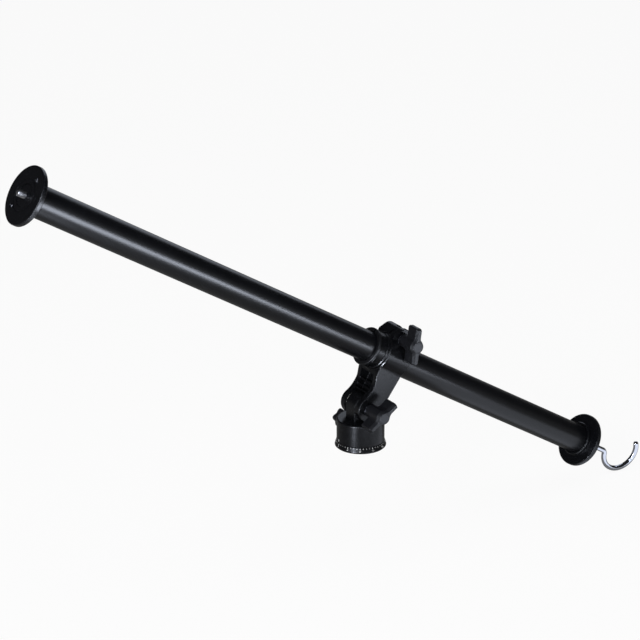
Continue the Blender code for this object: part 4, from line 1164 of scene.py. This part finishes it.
def cap_shape(radius, face):
    """The cap in a knob's face: a shallow ring round a flat middle."""
    bottom = face - CAP_SINK + GAP
    top = face + CAP_RISE
    outer, inner = CAP_RING
    return lathe([(0.0, bottom), (radius, bottom), (radius, face), (radius - CAP_RISE, top),
                  (radius * outer, top), (radius * inner, top - CAP_DISH),
                  (0.0, top - CAP_DISH)], 64, 0.00005)


def knob(name, grip, place, seat, stem_top, face, radii, reach, *trap):
    """A grip on its stem, bored for its screw, with a cap in its face."""
    stem_radius, cap_radius, screw_radius = radii
    grip = cut(grip, rod(cap_radius + GAP, face - CAP_SINK, face + PAST, 64),
               rod(screw_radius + GAP, seat, seat + reach + GAP))
    stem = cut(stem_shape(stem_radius, seat, stem_top),
               rod(screw_radius + GAP, seat - PAST, stem_top + STEM_BORE_PAST), *trap)
    shapes = (("moulding", together(grip, stem), "knob_plastic", "knob"),
              ("disc", cap_shape(cap_radius, face), "knob_cap_plastic", "knob_cap"))
    for part, shape, kind, node in shapes:
        piece(f"{name}_knob_{part}", moved(shape, place), f"{name}_lock_knob", kind,
              [f"{name}_{node}"])


class ARM_OT_lock_knobs(bpy.types.Operator):
    """Wing knobs of the tilt joint and the clamp, with their caps and washers"""
    bl_idname = "arm.lock_knobs"
    bl_label = "Wing knobs"

    def execute(self, context):
        rows = (("tilt", TILT_BOLT, FORK_HALF, TILT_KNOB_ANGLE),
                ("clamp", CLAMP, CLAMP_FRONT, CLAMP_KNOB_ANGLE))
        for name, place, seat_plane, angle in rows:
            seat = seat_plane + KNOB_SEAT
            stem_top = seat + KNOB_STEM_LENGTH
            face = stem_top + KNOB_DEPTH
            trap = prism(hexagon(NUT_FLATS + 2 * GAP), seat - PAST, seat + NUT_DEPTH)
            knob(name, wing_shape(seat), place @ Matrix.Rotation(angle + ARM_SLOPE, 4, "Z"),
                 seat, stem_top, face, (KNOB_STEM_RADIUS, CAP_RADIUS, BOLT_RADIUS), BOLT_REACH,
                 trap)
            low = seat_plane + GAP
            washer = sleeve(BOLT_RADIUS + GAP, KNOB_STEM_RADIUS, low, low + WASHER_THICKNESS,
                            64, FINE_EDGE)
            piece(f"{name}_washer_turned", washer, f"{name}_lock_washer", "dark_steel",
                  [f"{name}_washer"], place, f"{name}_washer")
        return {"FINISHED"}


def lobed_outline():
    """A wavy circle with one crest for each lobe."""
    swing = PAN_KNOB_LOBE_DEPTH / 2
    count = PAN_KNOB_LOBES * 28
    outline = []
    for number in range(count):
        angle = 2 * pi * number / count
        radius = PAN_KNOB_CREST - swing + swing * cos(PAN_KNOB_LOBES * angle)
        outline.append((radius * cos(angle), radius * sin(angle)))
    return outline


class ARM_OT_pan_lock(bpy.types.Operator):
    """Lobed knob behind the base, with its screw and cap"""
    bl_idname = "arm.pan_lock"
    bl_label = "Pan lock"

    def execute(self, context):
        seat = BODY_RADIUS + PAN_STAND_OFF
        stem_top = seat + PAN_STEM_LENGTH
        face = stem_top + PAN_KNOB_DEPTH
        knob("pan", prism(lobed_outline(), stem_top, face, PAN_KNOB_EDGE, 5),
             PAN_LOCK @ Matrix.Rotation(PAN_KNOB_ANGLE, 4, "Z"), seat, stem_top, face,
             (PAN_STEM_RADIUS, PAN_CAP_RADIUS, PAN_SCREW_RADIUS), PAN_SCREW_REACH)
        screw = threaded_rod(PAN_SCREW_RADIUS, PAN_SCREW_THREAD_DEPTH, PAN_SCREW_PITCH,
                             PAN_SHOE_END + 2 * GAP, seat + PAN_SCREW_REACH)
        piece("pan_screw_threaded", screw, "pan_lock_knob", "bright_steel", ["pan_screw"],
              PAN_LOCK, "pan_screw")
        return {"FINISHED"}


# Base

class ARM_OT_housing(bpy.types.Operator):
    """Turning housing with the tongue of the tilt joint, and its index line"""
    bl_idname = "arm.housing"
    bl_label = "Housing"

    def execute(self, context):
        corner = arc(BODY_CORNER, 8, 0.0, pi / 2,
                     (BODY_RADIUS - BODY_CORNER, BODY_TOP - BODY_CORNER), closed=False)
        shell = lathe([(0.0, HEAD_SPACE_TOP), (HEAD_SPACE_RADIUS, HEAD_SPACE_TOP),
                       (HEAD_SPACE_RADIUS, RING_SPACE_TOP), (RING_SPACE_RADIUS, RING_SPACE_TOP),
                       (RING_SPACE_RADIUS, SKIRT_TOP), (SKIRT_RADIUS, SKIRT_TOP),
                       (SKIRT_RADIUS, BODY_BOTTOM), (BODY_RADIUS, BODY_BOTTOM)]
                      + corner + [(0.0, BODY_TOP)], ROUND)
        root = BODY_TOP - BODY_CORNER - TONGUE_SINK
        outline = arc(TONGUE_RADIUS, 60, 0.0, pi, (0.0, TILT_HEIGHT), closed=False)
        outline += [(-TONGUE_RADIUS, root), (TONGUE_RADIUS, root)]
        tongue = moved(prism(outline, -TONGUE_HALF, TONGUE_HALF, TONGUE_EDGE), UPRIGHT)
        across = moved(rod(TONGUE_BORE, -FAR, FAR),
                       Matrix.Translation((0, 0, TILT_HEIGHT)) @ UPRIGHT)
        shoe = moved(rod(PAN_SHOE_RADIUS + GAP, PAN_SCREW_HOLE_START,
                         PAN_SHOE_END + PAN_LOCK_TRAVEL + GAP), PAN_LOCK)
        screw = moved(rod(PAN_SCREW_RADIUS + GAP, PAN_SCREW_HOLE_START, FAR), PAN_LOCK)
        body = cut(fused(shell, tongue), across, shoe, screw)
        piece("housing_casting", body, "pan_body", "black_casting", ["pan_housing"],
              bevel=CASTING_EDGE)
        width, low, high = INDEX_LINE
        line = block((BODY_RADIUS - INDEX_SINK, -width / 2, low),
                     (BODY_RADIUS + INDEX_RISE, width / 2, high))
        piece("index_line", moved(line, Matrix.Rotation(INDEX_ANGLE, 4, "Z")), "pan_body",
              "mark_paint")
        return {"FINISHED"}


def scale_face_place(angle, height):
    """Frame on the dial's slanted face: X along the dial, Y up the slant, Z outwards."""
    lean = atan2(DIAL_RADIUS - DIAL_TOP_RADIUS, DIAL_HEIGHT - DIAL_LOWER)
    share = (height - DIAL_LOWER) / (DIAL_HEIGHT - DIAL_LOWER)
    radius = DIAL_RADIUS + (DIAL_TOP_RADIUS - DIAL_RADIUS) * share
    return (Matrix.Rotation(angle + pi / 2, 4, "Z") @ Matrix.Translation((0, -radius, height))
            @ Matrix.Rotation(pi / 2 - lean, 4, "X"))


def number_shape(text, size):
    """A plain number as a thin closed shape, its middle at the origin."""
    curve = bpy.data.curves.new("dial_number", "FONT")
    curve.body = text
    curve.size = size
    curve.align_x = "CENTER"
    curve.align_y = "CENTER"
    curve.extrude = NUMBER_THICKNESS
    curve.resolution_u = 3
    return curve_shape(curve, 1e-7)


class ARM_OT_dial(bpy.types.Operator):
    """Scale ring under the housing, with its marks and plain numbers"""
    bl_idname = "arm.dial"
    bl_label = "Dial"

    def execute(self, context):
        sizes = context.scene.arm_sizes
        bore = INSERT_RADIUS + GAP
        ring = lathe([(bore, 0.0), (DIAL_RADIUS - DIAL_EDGE, 0.0), (DIAL_RADIUS, DIAL_EDGE),
                      (DIAL_RADIUS, DIAL_LOWER), (DIAL_TOP_RADIUS, DIAL_HEIGHT),
                      (bore, DIAL_HEIGHT)], ROUND, sizes.edge * FINE_EDGE_SHARE)
        ring = cut(ring, *[moved(screw_shape(GAP), place) for place in DIAL_SCREW_PLACES])
        piece("dial_scale_ring", ring, "base", "dial_gloss", ["dial_ring"])
        lines = []
        numbers = []
        for step in range(sizes.dial_step):
            share = step / sizes.dial_step
            angle = sizes.dial_turn + 2 * pi * share
            numbered = step % MARKS_BETWEEN_NUMBERS == 0
            length, width = LONG_MARK if numbered else SHORT_MARK
            line = block((-width / 2, -length, -MARK_SINK), (width / 2, 0, MARK_RISE))
            lines.append(moved(line, scale_face_place(angle, MARK_TOP)))
            if numbered:
                shape = number_shape(str(round(360 * share)), sizes.dial_figure)
                numbers.append(moved(shape, scale_face_place(angle, MARK_TOP - NUMBER_DROP)))
        piece("dial_lines", together(*lines), "base", "mark_paint")
        piece("dial_numbers", together(*numbers), "base", "mark_paint")
        return {"FINISHED"}


DIAL_SCREW_PLACES = [on_circle(DIAL_SCREW_CIRCLE, 2 * pi * number / DIAL_SCREW_COUNT + pi / 2)
                     for number in range(DIAL_SCREW_COUNT)]


def screw_shape(gap):
    """A countersunk screw standing on its head, or its hole when the gap isn't nought."""
    radius = DIAL_SCREW_RADIUS + gap
    head = DIAL_SCREW_HEAD + gap
    below = -GAP if gap else GAP
    tip = DIAL_SCREW_LENGTH + gap
    return lathe([(0.0, below), (head, below), (head, GAP), (radius, GAP + head - radius),
                  (radius, tip), (0.0, tip)], SMALL_ROUND)


class ARM_OT_base_hardware(bpy.types.Operator):
    """Threaded insert under the base and the screws round it"""
    bl_idname = "arm.base_hardware"
    bl_label = "Base hardware"

    def execute(self, context):
        pitch = context.scene.arm_sizes.insert_pitch
        wall = INSERT_BORE + INSERT_THREAD_DEPTH
        shell = sleeve(wall, INSERT_RADIUS, GAP, INSERT_LENGTH, 64, THREAD_END)
        thread = screw_ridge(wall + THREAD_SINK, INSERT_BORE, pitch, GAP + THREAD_END,
                             INSERT_LENGTH - THREAD_END)
        piece("insert_threaded", together(shell, thread), "base", "bright_steel",
              ["thread_insert"], BASE, "insert")
        for number, place in enumerate(DIAL_SCREW_PLACES, 1):
            arm, half, deep = DIAL_SCREW_CROSS
            cross = [block((-arm, -half, -0.001), (arm, half, deep)),
                     block((-half, -arm, -0.001), (half, arm, deep))]
            node = f"dial_screw_{number}"
            piece(f"dial_screw_cross_{number}", cut(screw_shape(0.0), *cross), "base",
                  "bright_steel", [node], place, node)
        return {"FINISHED"}


class ARM_OT_inner_finishes(bpy.types.Operator):
    """Finishes of the inner pieces that keep their CAD shape"""
    bl_idname = "arm.inner_finishes"
    bl_label = "Inner pieces"

    def execute(self, context):
        rows = (("pan_spindle", "bright_steel", BASE, "spindle"),
                ("spindle_ring", "brass", BASE, "ring"),
                ("pan_shoe", "brass", PAN_LOCK, "shoe"),
                ("tilt_bush", "brass", TILT_BOLT, "bush"),
                ("tilt_knob_nut", "brass", TILT_BOLT, "tilt_nut"),
                ("clamp_knob_nut", "brass", CLAMP, "clamp_nut"),
                ("thrust_washer", "slide_plastic"), ("friction_washer_near", "slide_plastic"),
                ("friction_washer_far", "slide_plastic"),
                ("hook_washer", "bright_steel", HOOK, "hook"),
                ("hook_nut", "bright_steel", HOOK, "hook"))
        for node, *finish in rows:
            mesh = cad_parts[node].data
            mesh.materials.clear()
            mesh.materials.append(finish_for(*finish))
        return {"FINISHED"}


# Stage

def light_card(name, place, aim, size, power, seen):
    """A soft square lamp: a cool one that is seen in reflections, or one that only fills."""
    lamp = bpy.data.lights.new(name, "AREA")
    lamp.shape = "RECTANGLE"
    lamp.size, lamp.size_y = size
    lamp.energy = power
    lamp.color = CARD_COLOUR if seen else FILL_COLOUR
    made = bpy.data.objects.new(name, lamp)
    made.location = place
    made.rotation_euler = (Vector(aim) - Vector(place)).to_track_quat("-Z", "Y").to_euler()
    made.visible_glossy = seen
    made.visible_diffuse = not seen
    made.visible_camera = False
    bpy.context.scene.collection.objects.link(made)


def seen_directly(tree):
    """1 for camera, glossy and transmission rays."""
    total = None
    for output in ("Is Camera Ray", "Is Glossy Ray", "Is Transmission Ray"):
        value = tree.node("ShaderNodeLightPath", output=output)
        total = value if total is None else total.maths("MAXIMUM", total, value)
    return total


def floor_paint(tree, colour):
    """A pale floor that shows white but keeps soft shadows, and is clear from below."""
    diffuse = tree.node("ShaderNodeBsdfDiffuse", None, {"Color": colour4(colour)})
    glossy = tree.node("ShaderNodeLightPath", output="Is Glossy Ray")
    white = tree.node("ShaderNodeEmission", None, {"Color": (1, 1, 1, 1),
                                                   "Strength": 1 - glossy * (1 - FLOOR_REFLECTED)})
    shown = tree.node("ShaderNodeMixShader", None,
                      {0: seen_directly(tree) * FLOOR_WHITE_SHARE, 1: diffuse, 2: white})
    clear = tree.node("ShaderNodeBsdfTransparent")
    under = tree.node("ShaderNodeNewGeometry", output="Backfacing")
    tree.close(tree.node("ShaderNodeMixShader", None, {0: under, 1: shown, 2: clear}))


def studio_world(tree):
    """White to the eye. Reflections see a pale horizon under a dim ceiling."""
    ray = tree.node("ShaderNodeLightPath", output="Is Camera Ray")
    glossy = tree.node("ShaderNodeLightPath", output="Is Glossy Ray")
    direction = tree.node("ShaderNodeTexCoord", output="Generated")
    up = tree.node("ShaderNodeSeparateXYZ", None, {0: direction}, output="Z")
    fall = HORIZON_LIGHT - CEILING_LIGHT
    ceiling = HORIZON_LIGHT - up.ramp(0.0, CEILING_START) * fall
    strength = glossy * ceiling + (1 - glossy) * WORLD_LIGHT
    light = tree.node("ShaderNodeBackground", None, {"Color": (1, 1, 1, 1),
                                                      "Strength": ray + (1 - ray) * strength})
    tree.close(light, "ShaderNodeOutputWorld")


class ARM_OT_stage(bpy.types.Operator):
    """Camera, soft lamps and the pale floor"""
    bl_idname = "arm.stage"
    bl_label = "Stage"

    def execute(self, context):
        scene = context.scene
        camera = bpy.data.objects.new("camera", bpy.data.cameras.new("camera"))
        camera.data.sensor_width = 36.0
        camera.data.lens = CAMERA_LENS
        camera.location = CAMERA_PLACE
        camera.rotation_euler = CAMERA_TURN
        scene.collection.objects.link(camera)
        scene.camera = camera
        low = CAD_BOX[0].z
        middle = (0, 0, 0.1)
        left = (-1.52, -1.04, 0.9)
        rows = (("overhead_card", (0.3, -0.4, 1.9), middle, (1.6, 1.6), 8.0, False),
                ("left_fill", left, middle, (0.7, 0.8), 18.0, False),
                ("left_card", left, middle, (1.0, 1.1), 50.0, True),
                ("table_card", (0.05, -1.0, low + 0.003), (0.05, -1.0, 1.0), (0.9, 0.85),
                 37.0, True),
                ("near_card", (0.25, -0.5, low + 0.002), (0.25, -0.5, 1.0), (0.28, 0.32),
                 0.85, True),
                ("strip_card", (-0.45, -0.24, -0.02), (0, 0, 0.02), (0.06, 0.16), 4.4, True),
                ("hook_card", (0.27, -0.13, low + 0.0025), (0.27, -0.13, 1.0), (0.30, 0.24),
                 0.20, True),
                ("back_card", (1.1, 1.0, 0.75), middle, (1.0, 0.8), 2.6, True))
        for row in rows:
            light_card(*row)
        floor = bmesh.new()
        bmesh.ops.create_grid(floor, x_segments=1, y_segments=1, size=40.0)
        bmesh.ops.translate(floor, verts=floor.verts, vec=(0, 0, low - FLOOR_DROP))
        mesh = bpy.data.meshes.new("floor")
        floor.to_mesh(mesh)
        floor.free()
        mesh.materials.append(material("floor_paint", floor_paint, scene.arm_colours.floor))
        ground = bpy.data.objects.new("floor", mesh)
        scene.collection.objects.link(ground)
        world = bpy.data.worlds.new("studio")
        studio_world(Tree(world))
        scene.world = world
        scene.view_settings.view_transform = "Standard"
        return {"FINISHED"}


# Add-on

OPERATORS = (ARM_OT_stage, ARM_OT_tube, ARM_OT_plates, ARM_OT_stud, ARM_OT_hook, ARM_OT_liner,
             ARM_OT_bracket, ARM_OT_bolts, ARM_OT_lock_knobs, ARM_OT_pan_lock, ARM_OT_housing,
             ARM_OT_dial, ARM_OT_base_hardware, ARM_OT_inner_finishes)


class ARM_PT_sidebar(bpy.types.Panel):
    """Lists the sizes, the colours and the operators"""
    bl_idname = "ARM_PT_sidebar"
    bl_label = "Extension arm"
    bl_space_type = "VIEW_3D"
    bl_region_type = "UI"
    bl_category = "Arm"

    def draw(self, context):
        for group in (context.scene.arm_sizes, context.scene.arm_colours):
            for name in group.__annotations__:
                self.layout.prop(group, name)
        for operator in OPERATORS:
            self.layout.operator(operator.bl_idname)


CLASSES = (ArmSizes, ArmColours, *OPERATORS, ARM_PT_sidebar)


def register():
    for item in CLASSES:
        bpy.utils.register_class(item)
    bpy.types.Scene.arm_sizes = PointerProperty(type=ArmSizes)
    bpy.types.Scene.arm_colours = PointerProperty(type=ArmColours)


def unregister():
    del bpy.types.Scene.arm_colours
    del bpy.types.Scene.arm_sizes
    for item in reversed(CLASSES):
        bpy.utils.unregister_class(item)


def main():
    register()
    for operator in OPERATORS:
        group, name = operator.bl_idname.split(".")
        getattr(getattr(bpy.ops, group), name)()


if __name__ == "__main__":
    main()
